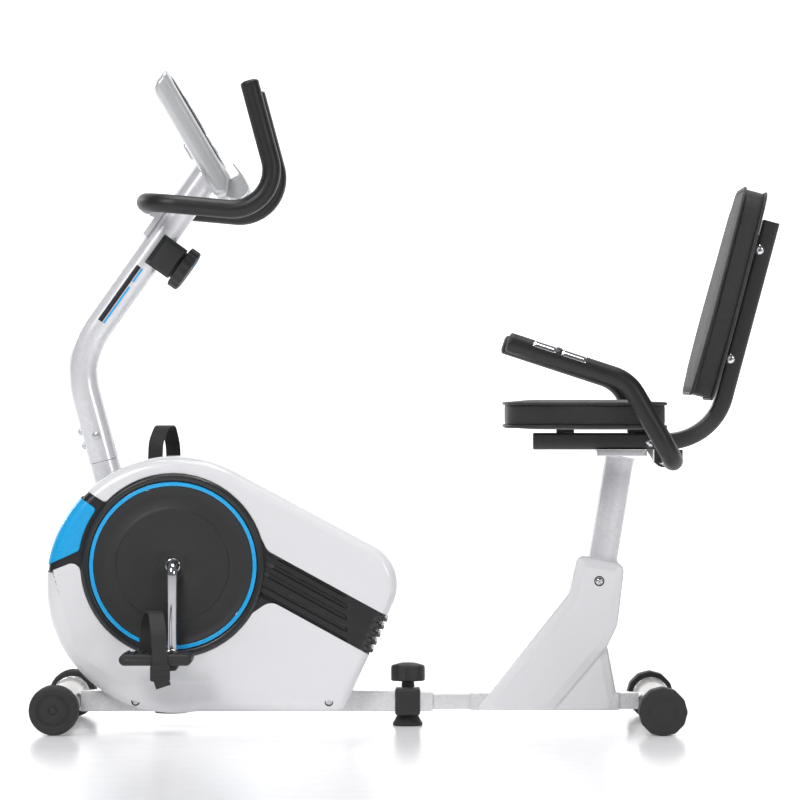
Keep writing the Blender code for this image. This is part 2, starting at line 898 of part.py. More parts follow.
def housing_cutters(name):
    """The solids that the rail and the mast need clear, as cutters for one shell."""
    rail = box(
        f"{name}_rail_way",
        (FRONT_X - 0.1, -RAIL_WIDE / 2 - SLIDE_GAP, -0.1),
        (RAIL_END + 0.1, RAIL_WIDE / 2 + SLIDE_GAP, RAIL_TOP + SLIDE_GAP),
        "white",
    )
    mast = rod(
        f"{name}_mast_way",
        on_plane(mast_point(POST_LOW - 0.05)),
        on_plane(mast_point(POST_LOW + 0.10)),
        MAST_RADIUS + SLIDE_GAP,
        "white",
        sides=24,
    )
    return rail, mast


def make_core(side):
    """A black half shell of the housing: the raised ring, the rear ribs and the crank's opening."""
    name = f"housing_core_{side}"
    outer = half_body(
        name, housing_outline(COVER_THICK), CORE_HALF, side, HOUSING_EDGE, "black"
    )
    inner = half_body(
        f"core_hollow_{side}",
        housing_outline(COVER_THICK + CORE_WALL),
        CORE_HALF - CORE_WALL,
        side,
        HOUSING_EDGE,
        "black",
        middle=-0.01,
    )
    at = (CRANK_X, 0, CRANK_Z)
    low, high = sorted(SIDES[side] * y for y in (CORE_HALF - CORE_WALL / 2, RING_HALF))
    ring = cylinder(f"ring_{side}", HUB_RING_RADIUS, low, high, "black", "Y", at, 32)
    low, high = sorted(SIDES[side] * y for y in (CORE_HALF - 0.02, RING_HALF + 0.01))
    opening = cylinder(
        f"hub_way_{side}", HUB_BOWL_RADIUS + HUB_FIT, low, high, "black", "Y", at, 32
    )
    cut(outer, inner)
    join(outer, ring, *[make_rib(side, number) for number in range(RIB_COUNT)])
    return cut(outer, opening, *housing_cutters(name))


def rear_edge(z, inset=0.0):
    """The point of the housing's straight rear edge at this height, moved inwards."""
    tail = housing_tail()
    share = (z - HOUSING_HEEL[1]) / (tail.y - HOUSING_HEEL[1])
    return Vector((HOUSING_HEEL[0] + (tail.x - HOUSING_HEEL[0]) * share - inset, z))


def make_rib(side, number):
    """One rib across the housing's rear edge."""
    z = RIB_LOW + number * RIB_PITCH
    top = z + RIB_PITCH * 0.5
    inset = COVER_THICK + CORE_WALL / 2
    outline = [rear_edge(z, inset), rear_edge(z), rear_edge(top), rear_edge(top, inset)]
    low, high = sorted(SIDES[side] * y for y in (RIB_SEAM, CORE_HALF - HOUSING_EDGE - RIB_SEAM))
    return plate(f"rib_{side}_{number}", [outline], low, high, "black")


def on_ring(angle, clear=0.0):
    """A point round the crank, just outside the raised ring."""
    radius = HUB_RING_RADIUS + clear
    return Vector((CRANK_X + radius * math.cos(angle), CRANK_Z + radius * math.sin(angle)))


def upper_region():
    """The part of the side that the upper cover takes: above the arm, the ring and the band."""
    ring = arc((CRANK_X, CRANK_Z), HUB_RING_RADIUS + COVER_CLEAR, *UPPER_ARC, RING_STEP)
    corners = [(ARM_UPPER, 0.0), (on_ring(ARM_UPPER_ANGLE, COVER_CLEAR), 0.006)]
    corners += [(point, 0) for point in ring]
    corners += [(BAND_UPPER_START, 0.020), (BAND_UPPER_END, 0)]
    corners += [(point, 0) for point in PAST_TOP]
    return filleted(corners, closed=True)


def lower_region():
    """The part of the side that the lower cover takes: below the arm, the ring and the band."""
    ring = arc((CRANK_X, CRANK_Z), HUB_RING_RADIUS + COVER_CLEAR, *LOWER_ARC, RING_STEP)
    corners = [(ARM_LOWER, 0.0), (on_ring(ARM_LOWER_ANGLE, COVER_CLEAR), 0.012)]
    corners += [(point, 0) for point in ring]
    corners += [(BAND_LOWER_START, 0.020), (BAND_LOWER_END, 0)]
    corners += [(point, 0) for point in PAST_FLOOR]
    return filleted(corners, closed=True)


def accent_region():
    """The part of the side that the blue front accent takes, between the two black arms."""
    inner = arc((CRANK_X, CRANK_Z), ACCENT_RADIUS, *ACCENT_ARC)
    corners = [(ACCENT_TOP, 0)]
    corners += [(point, 0.004 * (number in (0, len(inner) - 1))) for number, point in enumerate(inner)]
    corners += [(ACCENT_BOTTOM, 0)]
    return filleted(corners, closed=True)


def make_cover(name, side, region):
    """A white skin over one half shell, inside the region's outline."""
    skin = half_body(name, housing_outline(), HOUSING_HALF, side, HOUSING_EDGE, "white")
    core = half_body(
        f"{name}_core",
        housing_outline(COVER_THICK - GAP),
        CORE_HALF + GAP,
        side,
        HOUSING_EDGE,
        "white",
        middle=-0.01,
    )
    panel = plate(f"{name}_region", [region], -0.2, 0.2, "white")
    cut(skin, core)
    common(skin, panel)
    return cut(skin, *housing_cutters(name))


def make_accent():
    """The blue accent, which wraps round the front from one side to the other."""
    skins = []
    for side in SIDES:
        skin = half_body(
            f"accent_{side}", housing_outline(), HOUSING_HALF, side, HOUSING_EDGE, "blue", -0.001
        )
        core = half_body(
            f"accent_core_{side}",
            housing_outline(COVER_THICK - GAP),
            CORE_HALF + GAP,
            side,
            HOUSING_EDGE,
            "blue",
            -0.01,
        )
        skins.append(cut(skin, core))
    skins[0].name = "front_accent"
    join(skins[0], skins[1])
    return common(skins[0], plate("accent_region", [accent_region()], -0.2, 0.2, "blue"))


def make_hub_disc(side):
    """The dished disc inside the ring, with a hole for the crank's axle."""
    back = CORE_HALF - CORE_WALL
    face = [
        (HUB_FLAT_RADIUS - 0.002, HUB_DISC_HALF),
        (HUB_FLAT_RADIUS, HUB_DISC_HALF - 0.002),
        (HUB_FLAT_RADIUS + 0.006, HUB_DISC_HALF - HUB_DISH),
        (HUB_BOWL_RADIUS - 0.012, HUB_DISC_HALF - HUB_DISH),
        (HUB_BOWL_RADIUS, RING_HALF - 0.0015),
        (HUB_BOWL_RADIUS, back),
        (HUB_FLAT_RADIUS + 0.004, back),
        (HUB_FLAT_RADIUS - 0.004, HUB_DISC_HALF - HUB_WALL),
        (AXLE_RADIUS + TURN_GAP, HUB_DISC_HALF - HUB_WALL),
        (AXLE_RADIUS + TURN_GAP, HUB_DISC_HALF),
    ]
    at = (CRANK_X, 0, CRANK_Z)
    disc = turned(f"hub_disc_{side}", face, "black", "Y", at, steps=24, ring=True)
    if SIDES[side] < 0:
        place(disc, shift(x=CRANK_X) @ tilt(math.pi, "Z") @ shift(x=-CRANK_X))
    return disc


def make_mast():
    """The tube that carries the post, with the crank's bearing shell on a gusset."""
    axis = [(on_plane(mast_point(MAST_TOP)), 0), (on_plane(mast_point(MAST_LENGTH)), 0)]
    mast = tube("frame_mast", axis, MAST_RADIUS, "graphite", wall=MAST_WALL, sides=16)
    floor = box(
        "mast_floor",
        (FRONT_X - 0.1, -0.1, -0.1),
        (HOUSING_HEEL[0], 0.1, RAIL_TOP + GAP),
        "graphite",
    )
    crank = Vector((CRANK_X, CRANK_Z))
    reach = (crank - Vector(POST_BEND)).dot(POST_DOWN)
    foot = mast_point(reach)
    inwards = (crank - foot).normalized()
    line = [(foot + inwards * (MAST_RADIUS - MAST_WALL), 0), (crank, 0)]
    gusset = plate("gusset", [strip(line, GUSSET_HIGH)], -GUSSET_HALF, GUSSET_HALF, "graphite")
    at = (CRANK_X, 0, CRANK_Z)
    half = BEARING_Y + BEARING_WIDTH / 2 + 0.002
    shell = cylinder("axle_shell", SHELL_RADIUS, -half, half, "graphite", "Y", at, 32)
    bore = cylinder("shell_bore", BEARING_RADIUS + GAP, -0.1, 0.1, "graphite", "Y", at, 32)
    cut(mast, floor)
    join(mast, gusset, shell)
    return cut(mast, bore)


def make_bearing(side):
    """A bearing of the crank, as one ring."""
    middle = SIDES[side] * BEARING_Y
    low = middle - BEARING_WIDTH / 2
    high = middle + BEARING_WIDTH / 2
    inner = AXLE_RADIUS + GAP
    profile = [(BEARING_RADIUS, high), (BEARING_RADIUS, low), (inner, low), (inner, high)]
    at = (CRANK_X, 0, CRANK_Z)
    return turned(f"crank_bearing_{side}", profile, "steel", "Y", at, steps=20, ring=True)


def arm_outline(direction):
    """The tapering outline of a crank arm, down (-1) or up (1) from the axle."""
    wide = circle_part((CRANK_X, CRANK_Z), ARM_WIDE / 2, -direction)
    tip = (CRANK_X, CRANK_Z + direction * CRANK_LENGTH)
    return wide + circle_part(tip, ARM_END / 2, direction)


def circle_part(centre, radius, direction):
    """The half circle above (1) or below (-1) a centre, anticlockwise."""
    start = 0 if direction > 0 else math.pi
    return arc(centre, radius, start, start + math.pi, math.radians(30))


def make_crank():
    """The one-piece crank: the axle and an arm at each end, half a turn apart."""
    at = (CRANK_X, 0, CRANK_Z)
    half = CRANK_PLANE + ARM_THICK / 2 - 0.001
    crank = cylinder("crank", AXLE_RADIUS, -half, half, "chrome", "Y", at, 32)
    for side, sign in SIDES.items():
        low = sign * CRANK_PLANE - ARM_THICK / 2
        high = sign * CRANK_PLANE + ARM_THICK / 2
        arm = plate(f"arm_{side}", [arm_outline(sign)], low, high, "chrome")
        join(crank, rounded_edges(arm, 0.003, 1))
        low, high = sorted((sign * CRANK_PLANE, sign * (PEDAL_START + PEDAL_WIDTH - 0.006)))
        at = (CRANK_X, 0, CRANK_Z + sign * CRANK_LENGTH)
        join(crank, cylinder(f"spindle_{side}", SPINDLE_RADIUS, low, high, "steel", "Y", at, 20))
    return crank


def make_drive_pulley():
    """The large pulley, fixed on the crank's axle."""
    at = (CRANK_X, 0, CRANK_Z)
    low = BELT_Y - PULLEY_WIDTH / 2
    high = BELT_Y + PULLEY_WIDTH / 2
    pulley = cylinder("drive_pulley", DRIVE_RADIUS, low, high, "black", "Y", at, 32)
    bore = cylinder("pulley_bore", AXLE_RADIUS + GAP, 0, 0.1, "black", "Y", at, 32)
    return cut(pulley, bore)


def belt_loop(extra):
    """The outline of a loop round both pulleys, this far outside their rims."""
    drive = Vector((CRANK_X, CRANK_Z))
    driven = Vector((FLYWHEEL_X, FLYWHEEL_Z))
    span = driven - drive
    heading = math.atan2(span.y, span.x)
    spread = math.acos((DRIVE_RADIUS - DRIVEN_RADIUS) / span.length)
    around = arc(drive, DRIVE_RADIUS + extra, heading + spread, heading + 2 * math.pi - spread, BELT_STEP)
    return around + arc(driven, DRIVEN_RADIUS + extra, heading - spread, heading + spread, BELT_STEP)


def make_belt():
    """The belt, as one closed band round both pulleys."""
    loops = [belt_loop(BELT_CLEAR + BELT_THICK), belt_loop(BELT_CLEAR)]
    return plate("belt", loops, BELT_Y - BELT_WIDTH / 2, BELT_Y + BELT_WIDTH / 2, "rubber")


def make_flywheel():
    """The flywheel with its axle and the small pulley that the belt turns."""
    at = (FLYWHEEL_X, 0, FLYWHEEL_Z)
    wheel = cylinder(
        "flywheel", FLYWHEEL_RADIUS, -FLYWHEEL_HALF, FLYWHEEL_HALF, "iron", "Y", at, 32
    )
    high = BELT_Y + PULLEY_WIDTH / 2
    axle = cylinder(
        "flywheel_axle", FLYWHEEL_AXLE_RADIUS, FLYWHEEL_AXLE_BACK, high, "steel", "Y", at, 20
    )
    low = BELT_Y - PULLEY_WIDTH / 2
    pulley = cylinder("driven_pulley", DRIVEN_RADIUS, low, high, "steel", "Y", at, 32)
    return join(wheel, axle, pulley)


def make_fork():
    """The bracket on the rail that holds the flywheel's axle, with the brake's pin."""
    line = [
        ((FLYWHEEL_X, RAIL_TOP + GAP), 0),
        ((FLYWHEEL_X, FLYWHEEL_Z), 0),
        (FORK_PIN, 0),
    ]
    outer = FORK_INNER + FORK_THICK
    low = RAIL_TOP + GAP
    fork = box(
        "flywheel_fork",
        (FLYWHEEL_X - FORK_FOOT, -outer, low),
        (FLYWHEEL_X + FORK_FOOT, outer, low + FORK_THICK),
        "graphite",
    )
    for side, sign in SIDES.items():
        near, far = sorted((sign * FORK_INNER, sign * outer))
        join(fork, plate(f"fork_{side}", [strip(line, FORK_HALF)], near, far, "graphite"))
    at = (FLYWHEEL_X, 0, FLYWHEEL_Z)
    bore = cylinder(
        "fork_bore", FLYWHEEL_AXLE_RADIUS + TURN_GAP, -0.1, 0.1, "graphite", "Y", at, 24
    )
    pin = cylinder(
        "brake_pin", PIN_RADIUS, -outer, outer, "steel", "Y", on_plane(FORK_PIN), 20
    )
    return join(cut(fork, bore), pin)


def make_magnet_bracket():
    """The curved bracket that carries the magnets round the flywheel's rim."""
    centre = (FLYWHEEL_X, FLYWHEEL_Z)
    inner = FLYWHEEL_RADIUS + MAGNET_GAP
    outline = arc(centre, inner + MAGNET_THICK, MAGNET_START, MAGNET_END)
    outline += arc(centre, inner, MAGNET_END, MAGNET_START)
    bracket = plate("magnet_bracket", [outline], -MAGNET_HALF, MAGNET_HALF, "iron")
    at = on_plane(FORK_PIN)
    lug = cylinder(
        "magnet_lug", PIN_RADIUS + 0.004, -MAGNET_HALF, MAGNET_HALF, "iron", "Y", at, 24
    )
    bore = cylinder("magnet_bore", PIN_RADIUS + TURN_GAP, -0.1, 0.1, "iron", "Y", at, 24)
    return cut(join(bracket, lug), bore)


def make_pedal(side):
    """A pedal: a rounded platform with a bore for its spindle and a weight below."""
    sign = SIDES[side]
    z = CRANK_Z + sign * CRANK_LENGTH
    low, high = sorted((sign * PEDAL_START, sign * (PEDAL_START + PEDAL_WIDTH)))
    front = CRANK_X + PEDAL_OFFSET - PEDAL_LENGTH / 2
    rear = CRANK_X + PEDAL_OFFSET + PEDAL_LENGTH / 2
    pedal = plate(
        f"pedal_{side}",
        [rectangle((front, low), (rear, high), 0.012)],
        z - PEDAL_THICK / 2,
        z + PEDAL_THICK / 2,
        "black",
        axis="Z",
    )
    weight = box(
        f"pedal_weight_{side}",
        (CRANK_X - 0.024, low + 0.018, z - PEDAL_THICK / 2 - PEDAL_KEEL),
        (CRANK_X + 0.012, high - 0.018, z),
        "black",
    )
    at = (CRANK_X, 0, z)
    reach = sorted((sign * (PEDAL_START - 0.01), sign * (PEDAL_START + PEDAL_WIDTH - 0.005)))
    bore = cylinder(
        f"pedal_bore_{side}", SPINDLE_RADIUS + TURN_GAP, *reach, "black", "Y", at, 24
    )
    return cut(join(rounded_edges(pedal, 0.003, 1), weight), bore)


def make_strap(side):
    """A pedal's toe strap: an arch over the foot, whose tail hangs down outside."""
    sign = SIDES[side]
    z = CRANK_Z + sign * CRANK_LENGTH
    half = STRAP_THICK / 2
    inner = sign * (PEDAL_START - GAP - half)
    outer = sign * (PEDAL_START + PEDAL_WIDTH + GAP + half)
    line = [
        ((inner, z - PEDAL_THICK / 2), 0),
        ((inner, z + PEDAL_THICK / 2), 0),
        ((inner + sign * 0.004, z + STRAP_RISE - half), 0.022),
        ((outer - sign * 0.004, z + STRAP_RISE - half), 0.022),
        ((outer, z + PEDAL_THICK / 2), 0.0),
        ((outer, z - STRAP_TAIL), 0),
    ]
    x = CRANK_X + PEDAL_OFFSET - 0.006
    return plate(
        f"strap_{side}", [strip(line, half)], x - STRAP_WIDE / 2, x + STRAP_WIDE / 2, "rubber", "X"
    )


def console_frame():
    """A matrix from the console's own axes: X down its face, Z out of the face."""
    down = Vector((math.sin(CONSOLE_LEAN), 0, -math.cos(CONSOLE_LEAN)))
    out = Vector((math.cos(CONSOLE_LEAN), 0, math.sin(CONSOLE_LEAN)))
    return frame_matrix(on_plane(CONSOLE_TOP), down, out)


def frame_matrix(origin, along, out):
    """A matrix whose X runs along one direction and Z along another, from an origin."""
    turn = Matrix((along, out.cross(along), out)).transposed().to_4x4()
    return Matrix.Translation(origin) @ turn


def make_handlebar_post():
    """The bent post: it slips over the mast, and its top carries the console's plate."""
    line = [
        (on_plane(mast_point(POST_LOW)), 0),
        (on_plane(POST_BEND), POST_BEND_RADIUS),
        (on_plane(post_point(POST_HIGH + 0.05)), 0),
    ]
    post = tube(
        "handlebar_post", line, POST_RADIUS, "pearl", wall=POST_WALL, sides=16
    )
    face = console_frame()
    thick = CONSOLE_THICK + GAP
    above = box("post_top", (-0.2, -0.1, -thick - POST_PLATE), (0.5, 0.1, 0.2), "pearl")
    above.matrix_world = face @ above.matrix_world
    middle = (face.inverted() @ on_plane(post_point(POST_HIGH))).x
    top = box(
        "post_plate",
        (middle - POST_PLATE_HALF, -POST_PLATE_HALF, -thick - POST_PLATE - 0.0005),
        (middle + POST_PLATE_HALF, POST_PLATE_HALF, -thick),
        "pearl",
    )
    top.matrix_world = face @ top.matrix_world
    return join(cut(post, above), top)


def make_console():
    """The console's case, with pockets for the screen and the buttons."""
    outline = filleted(
        [
            (Vector((0, 0)), 0.006),
            (Vector((0.012, -CONSOLE_THICK)), 0.018),
            (Vector((CONSOLE_LENGTH - 0.010, -CONSOLE_THICK)), 0.004),
            (Vector((CONSOLE_LENGTH, -CONSOLE_THICK / 2)), 0.010),
            (Vector((CONSOLE_FACE, 0)), 0.002),
        ],
        closed=True,
        step=math.radians(30),
    )
    case = plate("console_case", [outline], -CONSOLE_HALF, CONSOLE_HALF, "silver")
    place(case, console_frame())
    pocket = screen_block("screen_pocket", GAP, -SCREEN_THICK - GAP, 0.01)
    pockets = [
        button_block(f"button_pocket_{name}", y, GAP, -BUTTON_HIGH, 0.01)
        for name, y in BUTTONS.items()
    ]
    return cut(case, pocket, *pockets)


def screen_block(name, extra, low, high):
    """The screen's block in the console's face, or its pocket when made larger by the extra."""
    half = SCREEN_WIDTH / 2 + extra
    block = box(
        name,
        (SCREEN_OFFSET - SCREEN_LENGTH / 2 - extra, -half, low),
        (SCREEN_OFFSET + SCREEN_LENGTH / 2 + extra, half, high),
        "glass",
    )
    return place(block, console_frame())


def button_block(name, y, extra, low, high):
    """A button at this Y under the screen, or its pocket when made larger by the extra."""
    outline = rectangle(
        (BUTTON_OFFSET - BUTTON_SIZE / 3 - extra, y - BUTTON_SIZE / 2 - extra),
        (BUTTON_OFFSET + BUTTON_SIZE / 3 + extra, y + BUTTON_SIZE / 2 + extra),
        0.004,
    )
    block = plate(name, [outline], low, high, "graphite", axis="Z")
    return place(block, console_frame())


def make_tablet_ledge():
    """The lip under the console's face that holds a tablet."""
    thick = LEDGE_WALL
    start = Vector((CONSOLE_FACE, GAP))
    outline = [
        start,
        start + Vector((-0.002, 0.016)),
        start + Vector((-0.024, 0.018)),
        start + Vector((-0.024, 0.018 + thick)),
        start + Vector((-0.008, 0.019 + thick)),
        start + Vector((0.008, 0.017 + thick)),
        start + Vector((0.022, 0.008)),
        start + Vector((0.025, -0.004)),
    ]
    lip = plate("tablet_ledge", [outline], -LEDGE_WIDE / 2, LEDGE_WIDE / 2, "silver")
    place(lip, console_frame())
    return lip


def bar_line(start_half):
    """Half of the handlebar's line, from this far beside the middle to the tip."""
    side = BAR_HALF
    return [
        ((BAR_X, start_half, BAR_Z), 0),
        ((BAR_X, side, BAR_Z), BAR_CORNER_RADIUS),
        (on_plane(BAR_KNEE, side), BAR_KNEE_RADIUS),
        (on_plane(BAR_TIP, side), 0),
    ]


def mirrored(line):
    """The line on the other side of the bike."""
    return [(Vector((point[0], -point[1], point[2])), radius) for point, radius in line]


def lengthened(line, extra):
    """The line with its last point moved on by this much."""
    last, before = Vector(line[-1][0]), Vector(line[-2][0])
    return line[:-1] + [(last + (last - before).normalized() * extra, 0)]


def make_handlebar():
    """The handlebar's steel tube, from one tip round to the other."""
    half = bar_line(0.0)[1:]
    return tube("handlebar_tube", mirrored(half)[::-1] + half, BAR_RADIUS, "black", BAR_WALL, 8)


def make_grip(name, line, radius, bore):
    """A foam grip on a bar, closed past the bar's tip, as a sleeve along the line."""
    grip = tube(name, lengthened(line, GRIP_CAP), radius, "foam")
    start, second = Vector(line[0][0]), Vector(line[1][0])
    before = [(start + (start - second).normalized() * 0.01, 0)]
    path = before + lengthened(line[1:], GAP)
    return cut(grip, tube(f"{name}_bore", path, around(bore + GAP, 10), "foam"))


def make_bar_bracket():
    """The bracket that clamps the handlebar in front of the post."""
    bar = Vector((BAR_X, BAR_Z))
    along = (bar - Vector(POST_BEND)).dot(POST_UP)
    front = (bar - Vector(POST_BEND)).dot(POST_FRONT)
    low = POST_RADIUS * 0.8
    outline = [
        post_point(along - BRACKET_LONG, low),
        post_point(along + BRACKET_SHORT, low),
        post_point(along + BRACKET_SHORT, front),
        post_point(along - BRACKET_SHORT, front),
        post_point(along - BRACKET_SHORT, POST_RADIUS + BRACKET_WALL),
        post_point(along - BRACKET_LONG, POST_RADIUS + BRACKET_WALL),
    ]
    bracket = plate("handlebar_bracket", [outline], -BRACKET_HALF, BRACKET_HALF, "pearl")
    at = (BAR_X, 0, BAR_Z)
    clamp = cylinder(
        "bar_clamp",
        BAR_RADIUS + BRACKET_WALL,
        -BRACKET_HALF,
        BRACKET_HALF,
        "pearl",
        "Y",
        at,
        24,
    )
    bore = cylinder("bar_bore", BAR_RADIUS + GAP, -0.1, 0.1, "pearl", "Y", at, 24)
    return cut(join(bracket, clamp), bore, post_cutter("bracket_post"))


def post_cutter(name):
    """A cylinder round the post's upper run, for the pieces that fit to it."""
    ends = on_plane(post_point(0.12)), on_plane(post_point(POST_HIGH))
    return rod(name, *ends, POST_RADIUS + GAP, "pearl", sides=40)


def make_tension_housing():
    """The box of the tension control, seated on the rear of the post, with its neck."""
    outline = [
        post_point(TENSION_ALONG + along * TENSION_LENGTH / 2, -depth)
        for along, depth in ((-1, 0), (1, 0), (1, TENSION_DEPTH), (-1, TENSION_DEPTH))
    ]
    case = plate("tension_housing", [outline], -TENSION_HALF, TENSION_HALF, "graphite")
    root = on_plane(post_point(TENSION_ALONG, -TENSION_DEPTH + 0.002))
    tip = on_plane(post_point(TENSION_ALONG, -NECK_DEPTH))
    neck = rod("tension_neck", root, tip, NECK_RADIUS, "graphite", sides=24)
    bore = rod(
        "tension_bore",
        on_plane(post_point(TENSION_ALONG, -TENSION_DEPTH * 0.75)),
        on_plane(post_point(TENSION_ALONG, -NECK_DEPTH - 0.01)),
        TENSION_STEM_RADIUS + TURN_GAP,
        "graphite",
    )
    return cut(join(case, neck), bore, post_cutter("tension_post"))


def make_tension_knob():
    """The fluted tension knob, with a stem that goes into its housing."""
    root = on_plane(post_point(TENSION_ALONG, -NECK_DEPTH - TURN_GAP))
    face = on_plane(post_point(TENSION_ALONG, -NECK_DEPTH - TENSION_KNOB_DEPTH))
    knob = plate(
        "tension_knob",
        [fluted(TENSION_KNOB_RADIUS, 0.004, 10)],
        0,
        (face - root).length,
        "black",
        axis="Z",
    )
    knob.matrix_world = aim(root, face) @ knob.matrix_world
    start = on_plane(post_point(TENSION_ALONG, -TENSION_DEPTH * 0.8))
    stem = rod("tension_stem", start, root.lerp(face, 0.5), TENSION_STEM_RADIUS, "steel")
    return join(rounded_edges(knob, 0.002, 1), stem)


def make_seat_base():
    """The sleeve fixed round the inner rail, which carries the seat post."""
    high = SLEEVE_HIGH / 2
    outer = rectangle((-RAIL_WIDE / 2, RAIL_Z - high), (RAIL_WIDE / 2, RAIL_Z + high), CORNER)
    wide = INNER_WIDE / 2 + GAP
    high = INNER_HIGH / 2 + GAP
    inner = rectangle((-wide, RAIL_Z - high), (wide, RAIL_Z + high))
    return plate("seat_base", [outer, inner], SEAT_BASE_START, SEAT_BASE_END, "pearl", axis="X")


def seat_post_point(down):
    """A point of the seat post's axis, this far below its top."""
    lean = Vector((-math.sin(SEAT_POST_LEAN), -math.cos(SEAT_POST_LEAN)))
    return Vector(SEAT_POST_TOP) + lean * down


def make_seat_post():
    """The leaning seat post, cut level at its foot, with the seat plate on its top."""
    length = (SEAT_POST_TOP[1] - SLEEVE_TOP) / math.cos(SEAT_POST_LEAN)
    line = [(on_plane(seat_post_point(-0.02)), 0), (on_plane(seat_post_point(length + 0.02)), 0)]
    post = tube("seat_post", line, SEAT_POST_RADIUS, "silver", wall=SEAT_POST_WALL, sides=20)
    x = SEAT_POST_TOP[0]
    low = box("post_floor", (x - 0.3, -0.1, -0.1), (x + 0.2, 0.1, SLEEVE_TOP + GAP), "silver")
    plate_low = FRAME_BEND[1] - FRAME_HIGH / 2 - 3 * GAP - PLATE_THICK
    above = box("post_above", (x - 0.3, -0.1, plate_low + 0.002), (x + 0.2, 0.1, 0.6), "silver")
    top = box(
        "seat_plate",
        (PLATE_START, -PLATE_HALF, plate_low),
        (PLATE_END, PLATE_HALF, plate_low + PLATE_THICK),
        "black",
    )
    return join(cut(post, low, above), top)


def frame_line(extra=0.0):
    """The seat frame's line: level under the seat, then up behind the back."""
    up = Vector((math.sin(BACK_LEAN), math.cos(BACK_LEAN)))
    return [
        (Vector((FRAME_START - extra, FRAME_BEND[1])), 0),
        (Vector(FRAME_BEND), FRAME_BEND_RADIUS),
        (Vector(FRAME_BEND) + up * (BACK_LENGTH + extra), 0),
    ]


def make_seat_frame():
    """The bent rectangular tube that carries the seat and the back."""
    outer = strip(frame_line(), FRAME_HIGH / 2)
    inner = strip(frame_line(0.01), FRAME_HIGH / 2 - FRAME_WALL)
    half = FRAME_WIDE / 2
    frame = plate("seat_frame", [outer], -half, half, "graphite")
    hollow = plate("frame_hollow", [inner], -half + FRAME_WALL, half - FRAME_WALL, "graphite")
    return cut(frame, hollow)


def make_seat_cushion():
    """The seat's cushion, as one plain solid that narrows to the front."""
    corners = [
        (Vector((SEAT_FRONT, -SEAT_HALF_FRONT)), SEAT_CORNER),
        (Vector((SEAT_SHOULDER, -SEAT_HALF_REAR)), SEAT_CORNER),
        (Vector((SEAT_REAR, -SEAT_HALF_REAR)), SEAT_CORNER),
        (Vector((SEAT_REAR, SEAT_HALF_REAR)), SEAT_CORNER),
        (Vector((SEAT_SHOULDER, SEAT_HALF_REAR)), SEAT_CORNER),
        (Vector((SEAT_FRONT, SEAT_HALF_FRONT)), SEAT_CORNER),
    ]
    outline = filleted(corners, closed=True)
    pad = plate("seat_cushion", [outline], SEAT_LOW, SEAT_LOW + SEAT_THICK, "vinyl", axis="Z")
    return rounded_edges(pad, CUSHION_EDGE)


def back_frame():
    """A matrix from the back's own axes: X up along the frame, Z towards the rider."""
    up = Vector((math.sin(BACK_LEAN), 0, math.cos(BACK_LEAN)))
    out = Vector((-math.cos(BACK_LEAN), 0, math.sin(BACK_LEAN)))
    return frame_matrix(on_plane(FRAME_BEND), up, out)


def make_back_cushion():
    """The back's cushion, as one plain solid that is widest in its lower third."""
    waist = BACK_START + (BACK_END - BACK_START) * 0.35
    corners = [
        (Vector((BACK_START, -BACK_HALF_WIDE * 0.85)), BACK_CORNER),
        (Vector((waist, -BACK_HALF_WIDE)), BACK_CORNER),
        (Vector((BACK_END, -BACK_HALF_TOP)), BACK_CORNER),
        (Vector((BACK_END, BACK_HALF_TOP)), BACK_CORNER),
        (Vector((waist, BACK_HALF_WIDE)), BACK_CORNER),
        (Vector((BACK_START, BACK_HALF_WIDE * 0.85)), BACK_CORNER),
    ]
    outline = filleted(corners, closed=True)
    top = BACK_OFFSET + BACK_THICK
    pad = plate("back_cushion", [outline[::-1]], BACK_OFFSET, top, "vinyl", axis="Z")
    place(pad, back_frame())
    return rounded_edges(pad, CUSHION_EDGE)


def make_seat_spacer(name):
    """A spacer between the seat frame and the cushion."""
    low = FRAME_BEND[1] + FRAME_HIGH / 2 + GAP
    x = SPACER_XS[name]
    return box(
        f"seat_spacer_{name}",
        (x - SPACER_LENGTH / 2, -SPACER_HALF, low),
        (x + SPACER_LENGTH / 2, SPACER_HALF, SEAT_LOW - GAP),
        "graphite",
    )


def make_back_board():
    """The board between the seat frame's upright and the back cushion."""
    board = box(
        "back_board",
        (BOARD_START, -BOARD_HALF, FRAME_HIGH / 2 + GAP),
        (BOARD_END, BOARD_HALF, BACK_OFFSET - GAP),
        "graphite",
    )
    return place(board, back_frame())


def arm_line():
    """Half of the armrest's line, from the middle under the seat to the tip."""
    side = ARM_REST_HALF
    return [
        (on_plane(ARM_REST_LOW, 0.0), 0),
        (on_plane(ARM_REST_LOW, side), ARM_LOW_RADIUS),
        (on_plane(ARM_REST_KNEE, side), ARM_REST_KNEE_RADIUS),
        (on_plane(ARM_REST_TIP, side), 0),
    ]


def make_armrest_tube():
    """The armrests' steel tube, from one tip under the seat to the other."""
    half = arm_line()[1:]
    return tube("armrest_tube", mirrored(half)[::-1] + half, ARM_TUBE_RADIUS, "black", BAR_WALL, 8)


def arm_grip_line():
    """The stretch of the armrest that the foam covers."""
    low = on_plane(ARM_REST_LOW, ARM_REST_HALF)
    knee = on_plane(ARM_REST_KNEE, ARM_REST_HALF)
    start = low + (knee - low).normalized() * ARM_GRIP_START
    return [(start, 0)] + arm_line()[2:]


